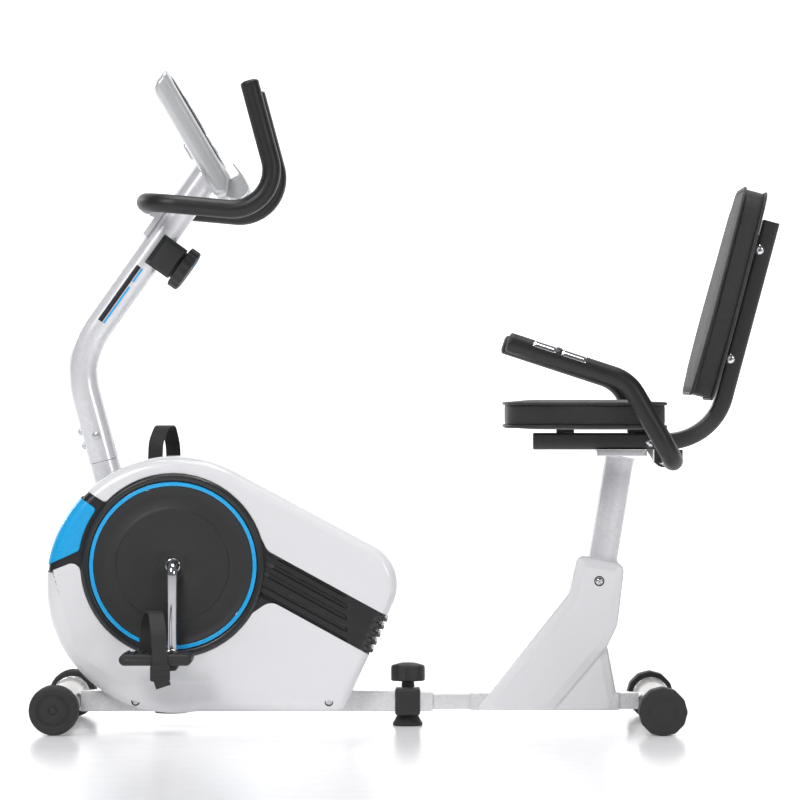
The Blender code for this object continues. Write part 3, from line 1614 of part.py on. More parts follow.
def make_armrest_bracket():
    """The block that clamps the armrest's tube under the seat frame."""
    x, z = ARM_REST_LOW
    top = FRAME_BEND[1] - FRAME_HIGH / 2 - GAP
    block = box(
        "armrest_bracket",
        (x - ARM_BLOCK_HALF, -ARM_BLOCK_HALF, z - ARM_TUBE_RADIUS * 0.5),
        (x + ARM_BLOCK_HALF, ARM_BLOCK_HALF, top),
        "graphite",
    )
    bore = cylinder("armrest_bore", ARM_TUBE_RADIUS + GAP, -0.1, 0.1, "graphite", "Y", (x, 0, z), 24)
    return cut(block, bore)


def make_rear_cover(side):
    """One half of the cover over the foot of the seat post."""
    corners = [(Vector(point), radius) for point, radius in COVER_OUTLINE[::-1]]
    outline = filleted(corners, closed=True, step=math.radians(30))
    name = f"rear_cover_{side}"
    cover = half_body(name, outline, COVER_HALF, side, COVER_EDGE, "white")
    inner = half_body(
        f"cover_hollow_{side}",
        offset(outline, COVER_WALL),
        COVER_HALF - COVER_WALL,
        side,
        COVER_EDGE - COVER_WALL,
        "white",
        middle=-0.01,
    )
    post = rod(
        f"cover_post_{side}",
        on_plane(seat_post_point(0)),
        on_plane(seat_post_point(0.42)),
        SEAT_POST_RADIUS + COVER_FIT,
        "white",
        sides=32,
    )
    sleeve = box(
        f"cover_sleeve_{side}",
        (SEAT_BASE_START - 0.1, -RAIL_WIDE / 2 - COVER_FIT, -0.1),
        (SEAT_BASE_END + 0.1, RAIL_WIDE / 2 + COVER_FIT, SLEEVE_TOP + COVER_FIT),
        "white",
    )
    return cut(cover, inner, post, sleeve)


def build():
    """Makes every piece and hangs the moving ones on their axes."""
    make_base_rail()
    make_stabilizer("front_stabilizer", FRONT_X, CAP_RADIUS, "pearl")
    make_foot_saddle()
    make_mast()
    make_belt()
    make_fork()
    make_handlebar_post()
    make_console()
    screen_block("console_screen", 0, -SCREEN_THICK, 0)
    make_tablet_ledge()
    make_handlebar()
    make_bar_bracket()
    make_tension_housing()
    make_accent()
    rear = axis_empty("seat_slide", 0, 0, RAIL_Z)
    crank = axis_empty("crank_axis", CRANK_X, 0, CRANK_Z)
    ride(crank, make_crank(), make_drive_pulley())
    ride(
        rear,
        make_inner_rail(),
        make_stabilizer("rear_stabilizer", REAR_X, REAR_Z, "champagne"),
        make_seat_base(),
        make_seat_post(),
        make_seat_frame(),
        make_seat_cushion(),
        make_back_cushion(),
        make_armrest_tube(),
        make_armrest_bracket(),
        *[make_seat_spacer(name) for name in SPACER_XS],
        make_back_board(),
    )
    for side, sign in SIDES.items():
        line = bar_line(GRIP_START)
        rest = arm_grip_line()
        make_core(side)
        make_cover(f"upper_cover_{side}", side, upper_region())
        make_cover(f"lower_cover_{side}", side, lower_region())
        make_hub_disc(side)
        make_bearing(side)
        if sign < 0:
            line = mirrored(line)
            rest = mirrored(rest)
        make_grip(f"handlebar_grip_{side}", line, GRIP_RADIUS, BAR_RADIUS)
        grip = make_grip(f"armrest_grip_{side}", rest, ARM_GRIP_RADIUS, ARM_TUBE_RADIUS)
        ride(rear, grip, make_rear_cover(side))
        wheel = axis_empty(f"front_wheel_axis_{side}", FRONT_X, 0, CAP_RADIUS)
        ride(wheel, make_front_wheel(side))
        cap = axis_empty(f"rear_cap_axis_{side}", REAR_X, 0, REAR_Z, rear)
        ride(cap, make_rear_cap(side))
        z = CRANK_Z + sign * CRANK_LENGTH
        pedal = axis_empty(f"pedal_axis_{side}", CRANK_X, 0, z, crank)
        ride(pedal, make_pedal(side), make_strap(side))
    ride(axis_empty("lock_axis", LOCK_X, 0, RAIL_TOP), make_lock_knob())
    ride(axis_empty("foot_axis", FOOT_X, 0, 0), make_foot_pad())
    ride(axis_empty("flywheel_centre", FLYWHEEL_X, 0, FLYWHEEL_Z), make_flywheel())
    ride(axis_empty("brake_axis", FORK_PIN[0], 0, FORK_PIN[1]), make_magnet_bracket())
    knob = post_point(TENSION_ALONG, -NECK_DEPTH)
    ride(axis_empty("tension_axis", knob.x, 0, knob.y), make_tension_knob())
    for name, y in BUTTONS.items():
        at = console_frame() @ Vector((BUTTON_OFFSET, y, 0))
        top = BUTTON_RISE
        low = -BUTTON_HIGH + BUTTON_TRAVEL + 2 * GAP
        button = button_block(f"button_{name}", y, 0, low, top)
        ride(axis_empty(f"button_axis_{name}", *at), button)


for old in list(bpy.data.objects):
    bpy.data.objects.remove(old)
BIKE = new_collection("recumbent_exercise_bike")
CUTTERS = new_collection("cutters")
CUTTERS.hide_render = True
build()
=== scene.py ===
"""The looks of a recumbent exercise bike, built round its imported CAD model.

Metres, Z up. X runs along the bike and the rider faces -X, so the rider's left is -Y.
Every surface is worked out with numpy as a grid or as a profile carried along a path.
"""

from __future__ import annotations

import json
import logging
import math
from collections.abc import Sequence
from dataclasses import dataclass, field
from enum import Enum

import bpy
import numpy as np
from mathutils import Matrix

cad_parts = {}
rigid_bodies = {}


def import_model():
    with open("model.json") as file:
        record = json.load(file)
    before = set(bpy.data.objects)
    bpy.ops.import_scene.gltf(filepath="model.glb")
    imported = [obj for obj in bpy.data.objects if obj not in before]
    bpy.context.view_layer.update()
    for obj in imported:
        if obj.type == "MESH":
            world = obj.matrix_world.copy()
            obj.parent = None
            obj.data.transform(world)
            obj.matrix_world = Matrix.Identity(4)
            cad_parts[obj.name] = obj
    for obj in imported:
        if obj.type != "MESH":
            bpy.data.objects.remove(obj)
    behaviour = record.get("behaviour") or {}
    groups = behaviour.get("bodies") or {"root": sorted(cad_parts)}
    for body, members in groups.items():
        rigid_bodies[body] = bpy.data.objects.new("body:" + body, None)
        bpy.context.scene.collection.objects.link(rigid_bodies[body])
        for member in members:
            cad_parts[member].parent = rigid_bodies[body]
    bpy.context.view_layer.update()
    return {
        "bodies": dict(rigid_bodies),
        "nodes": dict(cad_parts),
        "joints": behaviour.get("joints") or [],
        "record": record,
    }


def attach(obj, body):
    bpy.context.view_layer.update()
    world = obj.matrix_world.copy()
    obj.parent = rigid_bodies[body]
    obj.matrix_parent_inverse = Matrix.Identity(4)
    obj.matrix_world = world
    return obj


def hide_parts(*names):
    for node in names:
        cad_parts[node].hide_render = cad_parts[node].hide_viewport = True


LOG = logging.getLogger("recumbent_bike")
SIDES = {"left": -1.0, "right": 1.0}
TURN = 2 * math.pi

Number = float | int
Colour = tuple[float, float, float]
Point = Sequence[float]


# Shaders


class Wire:
    """One socket of a material, so that shader maths reads as Python."""

    def __init__(self, tree: Tree, socket: bpy.types.NodeSocket) -> None:
        """Keeps the socket and the tree it belongs to."""
        self.tree = tree
        self.socket = socket

    def _math(self, operation: str, *values: Wire | Number) -> Wire:
        """One Math node of the tree, on these values."""
        return self.tree.math(operation, *values)

    def __add__(self, other: Wire | Number) -> Wire:
        """The sum."""
        return self._math("ADD", self, other)

    def __radd__(self, other: Number) -> Wire:
        """The sum, from the right."""
        return self._math("ADD", other, self)

    def __sub__(self, other: Wire | Number) -> Wire:
        """The difference."""
        return self._math("SUBTRACT", self, other)

    def __rsub__(self, other: Number) -> Wire:
        """The difference, from the right."""
        return self._math("SUBTRACT", other, self)

    def __mul__(self, other: Wire | Number) -> Wire:
        """The product."""
        return self._math("MULTIPLY", self, other)

    def __rmul__(self, other: Number) -> Wire:
        """The product, from the right."""
        return self._math("MULTIPLY", other, self)

    def __truediv__(self, other: Wire | Number) -> Wire:
        """The quotient."""
        return self._math("DIVIDE", self, other)

    def __pow__(self, power: Number) -> Wire:
        """The power."""
        return self._math("POWER", self, power)

    def __gt__(self, other: Wire | Number) -> Wire:
        """One where this is the greater, else nought."""
        return self._math("GREATER_THAN", self, other)

    def between(self, low: float, high: float) -> Wire:
        """A smooth step from nought at low to one at high."""
        settings = {"interpolation_type": "SMOOTHSTEP"}
        inputs = {"Value": self, "From Min": low, "From Max": high}
        return self.tree.node("ShaderNodeMapRange", settings, inputs)


class Tree:
    """The node tree of one material."""

    def __init__(self, name: str) -> None:
        """Starts a material of this name with a single Principled shader."""
        self.material = bpy.data.materials.new(name)
        self.material.use_nodes = True
        self.nodes = self.material.node_tree.nodes
        self.links = self.material.node_tree.links
        self.shader = self.nodes["Principled BSDF"]

    def node(self, kind: str, settings: dict, inputs: dict, output: str | int = 0) -> Wire:
        """Adds a node.

        Args:
            kind: the node's type.
            settings: its properties, set before its sockets.
            inputs: values or wires by socket name or number.
            output: the name or number of the socket to read.

        Returns:
            The chosen output.
        """
        made = self.nodes.new(kind)
        for key, value in settings.items():
            if key == "stops":
                self._set_stops(made.color_ramp, value)
            else:
                setattr(made, key, value)
        for key, value in inputs.items():
            self.feed(made.inputs[key], value)
        return Wire(self, made.outputs[output])

    def _set_stops(self, ramp: bpy.types.ColorRamp, stops: Sequence[tuple[float, Colour]]) -> None:
        """Puts these stops, at least two, on a ramp."""
        while len(ramp.elements) < len(stops):
            ramp.elements.new(0.5)
        for element, (place, colour) in zip(ramp.elements, stops):
            element.position = place
            element.color = (*colour, 1.0)

    def feed(self, socket: bpy.types.NodeSocket, value: Wire | Number | Sequence[float]) -> None:
        """Links a wire to a socket, or sets the socket's own value."""
        if isinstance(value, Wire):
            self.links.new(value.socket, socket)
        elif isinstance(value, (int, float)):
            socket.default_value = value
        else:
            room = len(socket.default_value)
            socket.default_value = (*value, 1.0)[:room]

    def math(self, operation: str, *values: Wire | Number) -> Wire:
        """A Math node on these values."""
        return self.node("ShaderNodeMath", {"operation": operation}, dict(enumerate(values)))

    def place(self, stretch: Point = (1.0, 1.0, 1.0), turn: Point = (0.0, 0.0, 0.0)) -> Wire:
        """Object coordinates, stretched and turned."""
        at = self.node("ShaderNodeTexCoord", {}, {}, "Object")
        inputs = {"Vector": at, "Scale": stretch, "Rotation": turn}
        return self.node("ShaderNodeMapping", {}, inputs)

    def noise(self, at: Wire, scale: float, detail: float = 4.0, blur: float = 0.5) -> Wire:
        """Fractal noise between nought and one."""
        inputs = {"Vector": at, "Scale": scale, "Detail": detail, "Roughness": blur}
        return self.node("ShaderNodeTexNoise", {}, inputs)

    def cells(self, at: Wire, scale: float, feature: str = "F1") -> Wire:
        """The distance to a cell's point, or to its edge."""
        inputs = {"Vector": at, "Scale": scale}
        return self.node("ShaderNodeTexVoronoi", {"feature": feature}, inputs, "Distance")

    def mix(self, share: Wire | Number, first: Wire | Colour, second: Wire | Colour) -> Wire:
        """The first colour turning into the second with the share."""
        inputs = {0: share, 6: first, 7: second}
        return self.node("ShaderNodeMix", {"data_type": "RGBA"}, inputs, 2)

    def bump(self, height: Wire, depth: float, strength: float, under: Wire | None = None) -> Wire:
        """A normal raised by a height, this many metres deep, over another normal."""
        inputs: dict = {"Height": height, "Distance": depth, "Strength": strength}
        if under is not None:
            inputs["Normal"] = under
        return self.node("ShaderNodeBump", {}, inputs)


class Grain(Enum):
    """How a finish breaks up close to the eye."""

    PAINT = "sprayed gloss with a faint ripple"
    FLAKE = "metallic paint with fine flakes"
    MOULDED = "textured moulded plastic"
    GLOSSY = "smooth moulded plastic"
    CHROME = "polished plate with hairline marks"
    BRUSHED = "satin metal"
    FOAM = "closed-cell foam"
    VINYL = "pebbled upholstery vinyl"
    RUBBER = "dull rubber"
    GLASS = "display window"
    BELT = "ribbed rubber belt"


@dataclass(frozen=True)
class Finish:
    """A finish: its two tones, gloss and grain.

    Attributes:
        name: the material's name.
        slot: the record's material slot; not used.
        tone: the main colour.
        shade: the second colour, which comes through in patches, and on vinyl also as painted shade in the
            grain's creases.
        roughness: the middle roughness.
        grain: the kind of fine texture.
        metallic: how much it is a metal.
        coat: the clear coat's weight.
    """

    name: str
    slot: str
    tone: Colour
    shade: Colour
    roughness: float
    grain: Grain
    metallic: float = 0.0
    coat: float = 0.0

    def material(self) -> bpy.types.Material:
        """The material of this finish, made once."""
        found = bpy.data.materials.get(self.name)
        return found if found is not None else self._make()

    def _make(self) -> bpy.types.Material:
        """Builds the nodes: patches of shade, painted shade in the vinyl's creases, roughness that wanders,
        and the grain's bump.
        """
        tree = Tree(self.name)
        shader = tree.shader
        shader.inputs["Metallic"].default_value = self.metallic
        shader.inputs["Coat Weight"].default_value = self.coat
        shader.inputs["Coat Roughness"].default_value = 0.06
        at = tree.place()
        patches = tree.noise(at, 9.0, 5.0, 0.6)
        height, depth, strength, tint = self._grain(tree, at)
        # The tint mask mixes in the shade colour; on vinyl it paints shade into the grain's creases.
        share = patches * 0.6 + tint * 0.4
        tree.feed(shader.inputs["Base Color"], tree.mix(share, self.tone, self.shade))
        smudge = tree.noise(at, 34.0, 6.0, 0.65)
        rough = self.roughness + (smudge - 0.5) * (0.35 * self.roughness) + tint * 0.03
        tree.feed(shader.inputs["Roughness"], rough)
        tree.feed(shader.inputs["Normal"], tree.bump(height, depth, strength))
        if self.grain is Grain.VINYL:
            shader.inputs["Sheen Weight"].default_value = 0.02
            shader.inputs["Sheen Roughness"].default_value = 0.45
        if self.grain is Grain.FOAM:
            shader.inputs["Sheen Weight"].default_value = 0.02
            shader.inputs["Sheen Roughness"].default_value = 0.5
        return tree.material

    def _grain(self, tree: Tree, at: Wire) -> tuple[Wire, float, float, Wire]:
        """The grain's height, its depth in metres, its strength, and a tint mask, which on vinyl is painted
        shade in the creases.
        """
        grain = self.grain
        if grain is Grain.PAINT:
            height = tree.noise(at, 160.0, 2.0)
            return height, 0.0004, 0.06, tree.noise(at, 420.0, 2.0)
        if grain is Grain.FLAKE:
            flakes = tree.cells(at, 1400.0)
            return flakes, 0.0002, 0.05, flakes.between(0.15, 0.75)
        if grain is Grain.MOULDED:
            pits = tree.cells(at, 1100.0) + tree.noise(at, 700.0, 3.0) * 0.6
            return pits, 0.0003, 0.22, tree.noise(at, 260.0, 4.0)
        if grain is Grain.GLOSSY:
            height = tree.noise(at, 240.0, 3.0)
            return height, 0.0003, 0.05, tree.noise(at, 90.0, 5.0)
        if grain is Grain.CHROME:
            lines = tree.noise(tree.place((40.0, 40.0, 900.0)), 1.0, 3.0)
            return lines, 0.0001, 0.05, tree.noise(at, 60.0, 6.0).between(0.45, 0.8)
        if grain is Grain.BRUSHED:
            lines = tree.noise(tree.place((30.0, 1600.0, 1600.0)), 1.0, 3.0)
            return lines, 0.0002, 0.12, lines
        if grain is Grain.FOAM:
            pores = tree.cells(at, 900.0).between(0.05, 0.5)
            skin = pores * 0.7 + tree.noise(at, 1500.0, 3.0) * 0.5
            return skin, 0.0006, 0.22, 1 - pores
        if grain is Grain.VINYL:
            bend = tree.noise(at, 240.0, 3.0)
            crease = tree.cells(at, 430.0, "DISTANCE_TO_EDGE").between(0.0, 0.16)
            pebble = crease * (0.75 + bend * 0.5) + tree.noise(at, 1300.0, 2.0) * 0.12
            # The grooves between pebbles get the darker shade colour: painted shade in the creases.
            return pebble, 0.0007, 0.5, 1 - crease
        if grain is Grain.BELT:
            ribs = tree.cells(at, 500.0)
            return ribs, 0.0006, 0.3, tree.noise(at, 150.0, 5.0)
        if grain is Grain.GLASS:
            haze = tree.noise(at, 26.0, 5.0)
            return haze, 0.0001, 0.02, haze
        speckle = tree.noise(at, 620.0, 6.0, 0.7)
        return speckle, 0.0005, 0.3, tree.noise(at, 48.0, 6.0)


class Look:
    """The finishes of the bike."""

    WHITE = Finish(
        "white_shell", "white_plastic", (0.91, 0.91, 0.93), (0.87, 0.87, 0.895), 0.24, Grain.GLOSSY, coat=0.5
    )
    PEARL = Finish(
        "pearl_coat", "pearl_paint", (0.84, 0.84, 0.865), (0.795, 0.795, 0.825), 0.24, Grain.FLAKE, 0.2, 0.7
    )
    WHITE_COAT = Finish(
        "white_coat", "white_paint", (0.84, 0.84, 0.85), (0.79, 0.79, 0.805), 0.26, Grain.PAINT, 0.1, 0.6
    )
    CHAMPAGNE = Finish(
        "champagne_coat",
        "champagne_paint",
        (0.34, 0.32, 0.29),
        (0.27, 0.255, 0.235),
        0.28,
        Grain.FLAKE,
        0.8,
        0.4,
    )
    DARK_COAT = Finish(
        "dark_coat", "dark_paint", (0.066, 0.066, 0.068), (0.048, 0.048, 0.050), 0.36, Grain.PAINT, 0.2, 0.4
    )
    SILVER = Finish(
        "silver_steel", "silver_steel", (0.62, 0.63, 0.65), (0.45, 0.46, 0.48), 0.30, Grain.BRUSHED, 1.0
    )
    CHROME = Finish("chrome_plate", "chrome", (0.86, 0.86, 0.88), (0.70, 0.70, 0.72), 0.10, Grain.CHROME, 1.0)
    IRON = Finish("cast_iron", "iron", (0.14, 0.14, 0.145), (0.09, 0.09, 0.095), 0.48, Grain.RUBBER, 0.9)
    BLUE = Finish(
        "blue_shell", "blue_plastic", (0.013, 0.47, 0.93), (0.010, 0.42, 0.88), 0.26, Grain.GLOSSY, coat=0.5
    )
    SILVER_SHELL = Finish(
        "silver_shell",
        "silver_plastic",
        (0.70, 0.71, 0.72),
        (0.63, 0.64, 0.655),
        0.30,
        Grain.FLAKE,
        0.45,
        0.4,
    )
    BLACK = Finish(
        "black_shell",
        "black_plastic",
        (0.022, 0.022, 0.023),
        (0.013, 0.013, 0.014),
        0.32,
        Grain.GLOSSY,
        coat=0.15,
    )
    GREY = Finish(
        "dark_shell", "dark_plastic", (0.030, 0.030, 0.031), (0.018, 0.018, 0.019), 0.50, Grain.MOULDED
    )
    GLASS = Finish(
        "display_glass", "screen", (0.020, 0.024, 0.026), (0.012, 0.014, 0.016), 0.10, Grain.GLASS, coat=0.6
    )
    LCD = Finish("display_film", "screen", (0.30, 0.36, 0.33), (0.25, 0.31, 0.28), 0.30, Grain.GLASS)
    FOAM = Finish("black_foam", "foam", (0.009, 0.009, 0.010), (0.016, 0.016, 0.017), 0.40, Grain.FOAM)
    # The darker second colours of the vinyl and the piping also fill the grain's creases as painted shade.
    VINYL = Finish("black_vinyl", "vinyl", (0.026, 0.025, 0.024), (0.015, 0.0145, 0.014), 0.50, Grain.VINYL)
    PIPING = Finish("vinyl_piping", "vinyl", (0.030, 0.029, 0.028), (0.018, 0.017, 0.017), 0.42, Grain.VINYL)
    RUBBER = Finish(
        "black_rubber", "foot_rubber", (0.020, 0.020, 0.020), (0.032, 0.032, 0.032), 0.62, Grain.RUBBER
    )
    BELT = Finish(
        "belt_rubber", "belt_rubber", (0.016, 0.016, 0.016), (0.028, 0.028, 0.028), 0.66, Grain.BELT
    )


# Surfaces


def unit(vectors: np.ndarray) -> np.ndarray:
    """The vectors at length one."""
    return vectors / np.maximum(np.linalg.norm(vectors, axis=-1, keepdims=True), 1e-12)


def rounded(corners: Sequence[tuple[Point, float]], step: float = 0.14, closed: bool = False) -> np.ndarray:
    """A line through corners, each turned into an arc of its own radius.

    Round a corner's centre the two end spokes are mixed by the sines of their shares of the turn.

    Args:
        corners: each corner and its radius.
        step: the most that one piece of an arc turns, in radians.
        closed: whether the last corner leads back to the first.

    Returns:
        The points of the line.
    """
    places = [np.asarray(corner, float) for corner, _ in corners]
    last = len(places) - 1
    parts = []
    for number, (_, radius) in enumerate(corners):
        corner = places[number]
        if radius == 0 or (not closed and number in (0, last)):
            parts.append(corner[None])
            continue
        before = unit(places[number - 1] - corner)
        after = unit(places[(number + 1) % len(places)] - corner)
        half = math.acos(float(np.clip(before @ after, -1, 1))) / 2
        centre = corner + unit(before + after) * (radius / math.sin(half))
        start = corner + before * (radius / math.tan(half)) - centre
        end = corner + after * (radius / math.tan(half)) - centre
        turn = math.pi - 2 * half
        share = np.linspace(0, 1, max(3, math.ceil(turn / step) + 1))[:, None]
        spokes = start * np.sin((1 - share) * turn) + end * np.sin(share * turn)
        parts.append(centre + spokes / math.sin(turn))
    return np.concatenate(parts)


def spaced(line: np.ndarray, count: int, closed: bool = False) -> np.ndarray:
    """The line as this many points at equal lengths along it."""
    if closed:
        line = np.vstack([line, line[:1]])
    run = np.concatenate([[0.0], np.cumsum(np.linalg.norm(np.diff(line, axis=0), axis=1))])
    at = np.linspace(0, run[-1], count + closed)[:count]
    return np.stack([np.interp(at, run, column) for column in line.T], axis=1)


def circle(radius: float, sides: int = 32, squash: float = 1.0) -> np.ndarray:
    """The points of a circle, or of an ellipse whose second axis is squashed."""
    angle = np.arange(sides) * TURN / sides
    return np.stack([radius * np.cos(angle), radius * squash * np.sin(angle)], axis=1)


def rectangle(low: Point, high: Point, radius: float, step: float = 0.3) -> np.ndarray:
    """A rectangle between two corners, with its corners rounded."""
    corners = [((low[0], low[1]), radius), ((high[0], low[1]), radius)]
    corners += [((high[0], high[1]), radius), ((low[0], high[1]), radius)]
    return rounded(corners, step, closed=True)


def inward(outline: np.ndarray, distance: float) -> np.ndarray:
    """A closed outline that runs anticlockwise, moved inwards along its mitres."""
    before = unit(outline - np.roll(outline, 1, axis=0))
    after = unit(np.roll(outline, -1, axis=0) - outline)
    sides = np.stack([-before[:, 1], before[:, 0]], axis=1)
    both = unit(sides + np.stack([-after[:, 1], after[:, 0]], axis=1))
    reach = distance / np.maximum(np.sum(both * sides, axis=1, keepdims=True), 0.4)
    return outline + both * reach


@dataclass
class Skin:
    """A surface: its points, its four-sided faces and the flat caps that close it."""

    points: np.ndarray
    quads: np.ndarray
    caps: list[np.ndarray] = field(default_factory=list)

    def volume(self) -> float:
        """The volume inside, as the sum of signed wedges from the middle."""
        points = self.points - self.points.mean(axis=0)
        total = 0.0
        for faces in [self.quads, *[cap[None] for cap in self.caps]]:
            for number in range(1, faces.shape[1] - 1):
                a, b, c = (points[faces[:, k]] for k in (0, number, number + 1))
                total += float(np.sum(a * np.cross(b, c)))
        return total

    def turned_round(self) -> Skin:
        """The same surface with its faces turned over."""
        return Skin(self.points, self.quads[:, ::-1], [cap[::-1] for cap in self.caps])

    def outward(self) -> Skin:
        """The same surface with its faces pointing out."""
        return self if self.volume() >= 0 else self.turned_round()

    def mirrored(self) -> Skin:
        """The surface on the other side of the bike's middle plane."""
        other = Skin(self.points * [1, -1, 1], self.quads, self.caps)
        return other.turned_round()

    def on(self, origin: Point, first: Point, second: Point, third: Point) -> Skin:
        """The surface carried from local axes to these three, from an origin."""
        axes = np.array([first, second, third], float)
        return Skin(self.points @ axes + np.asarray(origin, float), self.quads, self.caps)


def sheet(points: np.ndarray, across: bool = False, around: bool = True, caps: bool = True) -> Skin:
    """A grid of points as a surface.

    Args:
        points: rows by columns by three.
        across: whether the last row leads back to the first.
        around: whether the last column leads back to the first.
        caps: whether the first and last rows are closed with flat faces.

    Returns:
        The surface.
    """
    rows, columns = points.shape[:2]
    row = np.arange(rows if across else rows - 1)[:, None]
    column = np.arange(columns if around else columns - 1)[None]
    row_next, column_next = (row + 1) % rows, (column + 1) % columns
    corners = [(row, column), (row_next, column), (row_next, column_next), (row, column_next)]
    quads = np.stack([(r * columns + c).ravel() for r, c in corners], axis=1)
    ends = []
    if caps and around and not across:
        ends = [np.arange(columns), np.arange(columns)[::-1] + (rows - 1) * columns]
    return Skin(points.reshape(-1, 3), quads, ends)


def swept(path: np.ndarray, section: np.ndarray, side: Point, size: np.ndarray | None = None) -> Skin:
    """A closed section carried along a path, with flat ends.

    Each point is the path's point plus the section's first number along the cross product of the
    path's direction with a fixed side vector, and its second along the cross product of the two.

    Args:
        path: the points of the path.
        section: the outline to carry.
        side: a fixed vector that the path never runs along.
        size: the section's scale at each point of the path.

    Returns:
        The surface.
    """
    ahead = unit(np.gradient(path, axis=0))
    out = unit(np.cross(ahead, np.asarray(side, float)))
    up = np.cross(ahead, out)
    scale = np.ones(len(path)) if size is None else size
    flat = scale[:, None, None] * section[None]
    points = path[:, None] + flat[..., :1] * out[:, None] + flat[..., 1:] * up[:, None]
    return sheet(points).outward()


def pipe(path: np.ndarray, outer: np.ndarray, inner: np.ndarray, side: Point) -> Skin:
    """A hollow tube: out along one section and back inside along the other."""
    first, second = swept(path, outer, side), swept(path, inner, side)
    rows = len(path)
    out, back = (skin.points.reshape(rows, -1, 3) for skin in (first, second))
    return sheet(np.concatenate([out, back[::-1]]), across=True).outward()


def turned(profile: np.ndarray, origin: Point, axis: Point, sides: int = 48) -> Skin:
    """A profile of radius and height turned round an axis, its ends closed flat."""
    axis = unit(np.asarray(axis, float))
    first = unit(np.cross(axis, [0.31, 0.22, 0.9]))
    second = np.cross(axis, first)
    angle = np.arange(sides) * TURN / sides
    spoke = np.cos(angle)[:, None] * first + np.sin(angle)[:, None] * second
    radius = np.maximum(profile[:, 0], 0.0002)[:, None, None]
    points = radius * spoke[None] + profile[:, 1][:, None, None] * axis
    return sheet(points + np.asarray(origin, float)).outward()


def slab(
    outline: np.ndarray, low: float, high: float, edge: float, axes: str = "xz", crown: float = 0.0
) -> Skin:
    """A flat piece with rounded rims.

    The outline goes up one side, and at each face it moves inwards as one less the sine, and up
    as one less the cosine, of a quarter turn.

    Args:
        outline: the outline, anticlockwise.
        low: where the piece starts along the third axis.
        high: where it ends.
        edge: the radius of its rims.
        axes: which two axes the outline lies in.
        crown: how far the high face's middle ring rises.

    Returns:
        The surface.
    """
    quarter = np.linspace(0, math.pi / 2, 6)
    rings = [(edge * (1 - math.sin(t)), low + edge * (1 - math.cos(t))) for t in quarter]
    rings += [(edge * (1 - math.cos(t)), high - edge * (1 - math.sin(t))) for t in quarter]
    if crown:
        rings.append((edge * 2.2, high + crown))
    flat = [np.column_stack([inward(outline, i), np.full(len(outline), h)]) for i, h in rings]
    points = np.stack(flat)
    third = ({0, 1, 2} - {"xyz".index(a) for a in axes}).pop()
    order = ["xyz".index(axes[0]), "xyz".index(axes[1]), third]
    placed = np.empty_like(points)
    placed[..., order] = points
    return sheet(placed).outward()


@dataclass
class Assembly:
    """A sub-assembly of the bike, which makes pieces and hands each to a body."""

    def piece(
        self,
        name: str,
        skins: Sequence[Skin],
        look: Finish,
        body: str,
        nodes: Sequence[str] = (),
        sharp: float = 38.0,
    ) -> bpy.types.Object:
        """Makes one piece.

        Args:
            name: the piece's name.
            skins: its surfaces.
            look: its finish.
            body: the body it moves with.
            nodes: the CAD nodes it stands for.
            sharp: the angle in degrees past which an edge is shaded sharp.

        Returns:
            The piece.
        """
        mesh = bpy.data.meshes.new(name)
        start, points, faces = 0, [], []
        for skin in skins:
            points.append(skin.points)
            faces += (skin.quads + start).tolist() + [(cap + start).tolist() for cap in skin.caps]
            start += len(skin.points)
        mesh.from_pydata(np.concatenate(points).tolist(), [], faces)
        mesh.update()
        mesh.shade_smooth()
        mesh.set_sharp_from_angle(angle=math.radians(sharp))
        mesh.materials.append(look.material())
        made = bpy.data.objects.new(name, mesh)
        bpy.context.scene.collection.objects.link(made)
        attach(made, body)
        if nodes:
            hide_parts(*nodes)
        LOG.info("%s: %d faces, rides on %s", name, len(faces), body)
        return made


def nearest(points: np.ndarray, line: np.ndarray, closed: bool = False) -> tuple[np.ndarray, np.ndarray]:
    """The distance from each point to a line, and the side it is on.

    Each piece of the line is tried at the share along it where the point projects.

    Returns:
        The distances, and plus one on the line's left or minus one on its right.
    """
    ends = np.roll(line, -1, axis=0) if closed else line[1:]
    starts = line if closed else line[:-1]
    run = ends - starts
    gap = points[:, None] - starts[None]
    share = np.clip(np.sum(gap * run, axis=2) / np.maximum(np.sum(run * run, axis=1), 1e-12), 0, 1)
    away = gap - share[..., None] * run
    far = np.sqrt(np.sum(away * away, axis=2))
    best = np.argmin(far, axis=1)
    cross = run[best, 0] * gap[np.arange(len(points)), best, 1] - run[best, 1] * gap[
        np.arange(len(points)), best, 0
    ]
    return far.min(axis=1), np.where(cross >= 0, 1.0, -1.0)


def smooth_step(value: np.ndarray, low: float, high: float) -> np.ndarray:
    """Nought below low, one above high, and three squares less two cubes between."""
    share = np.clip((value - low) / (high - low), 0, 1)
    return share * share * (3 - 2 * share)


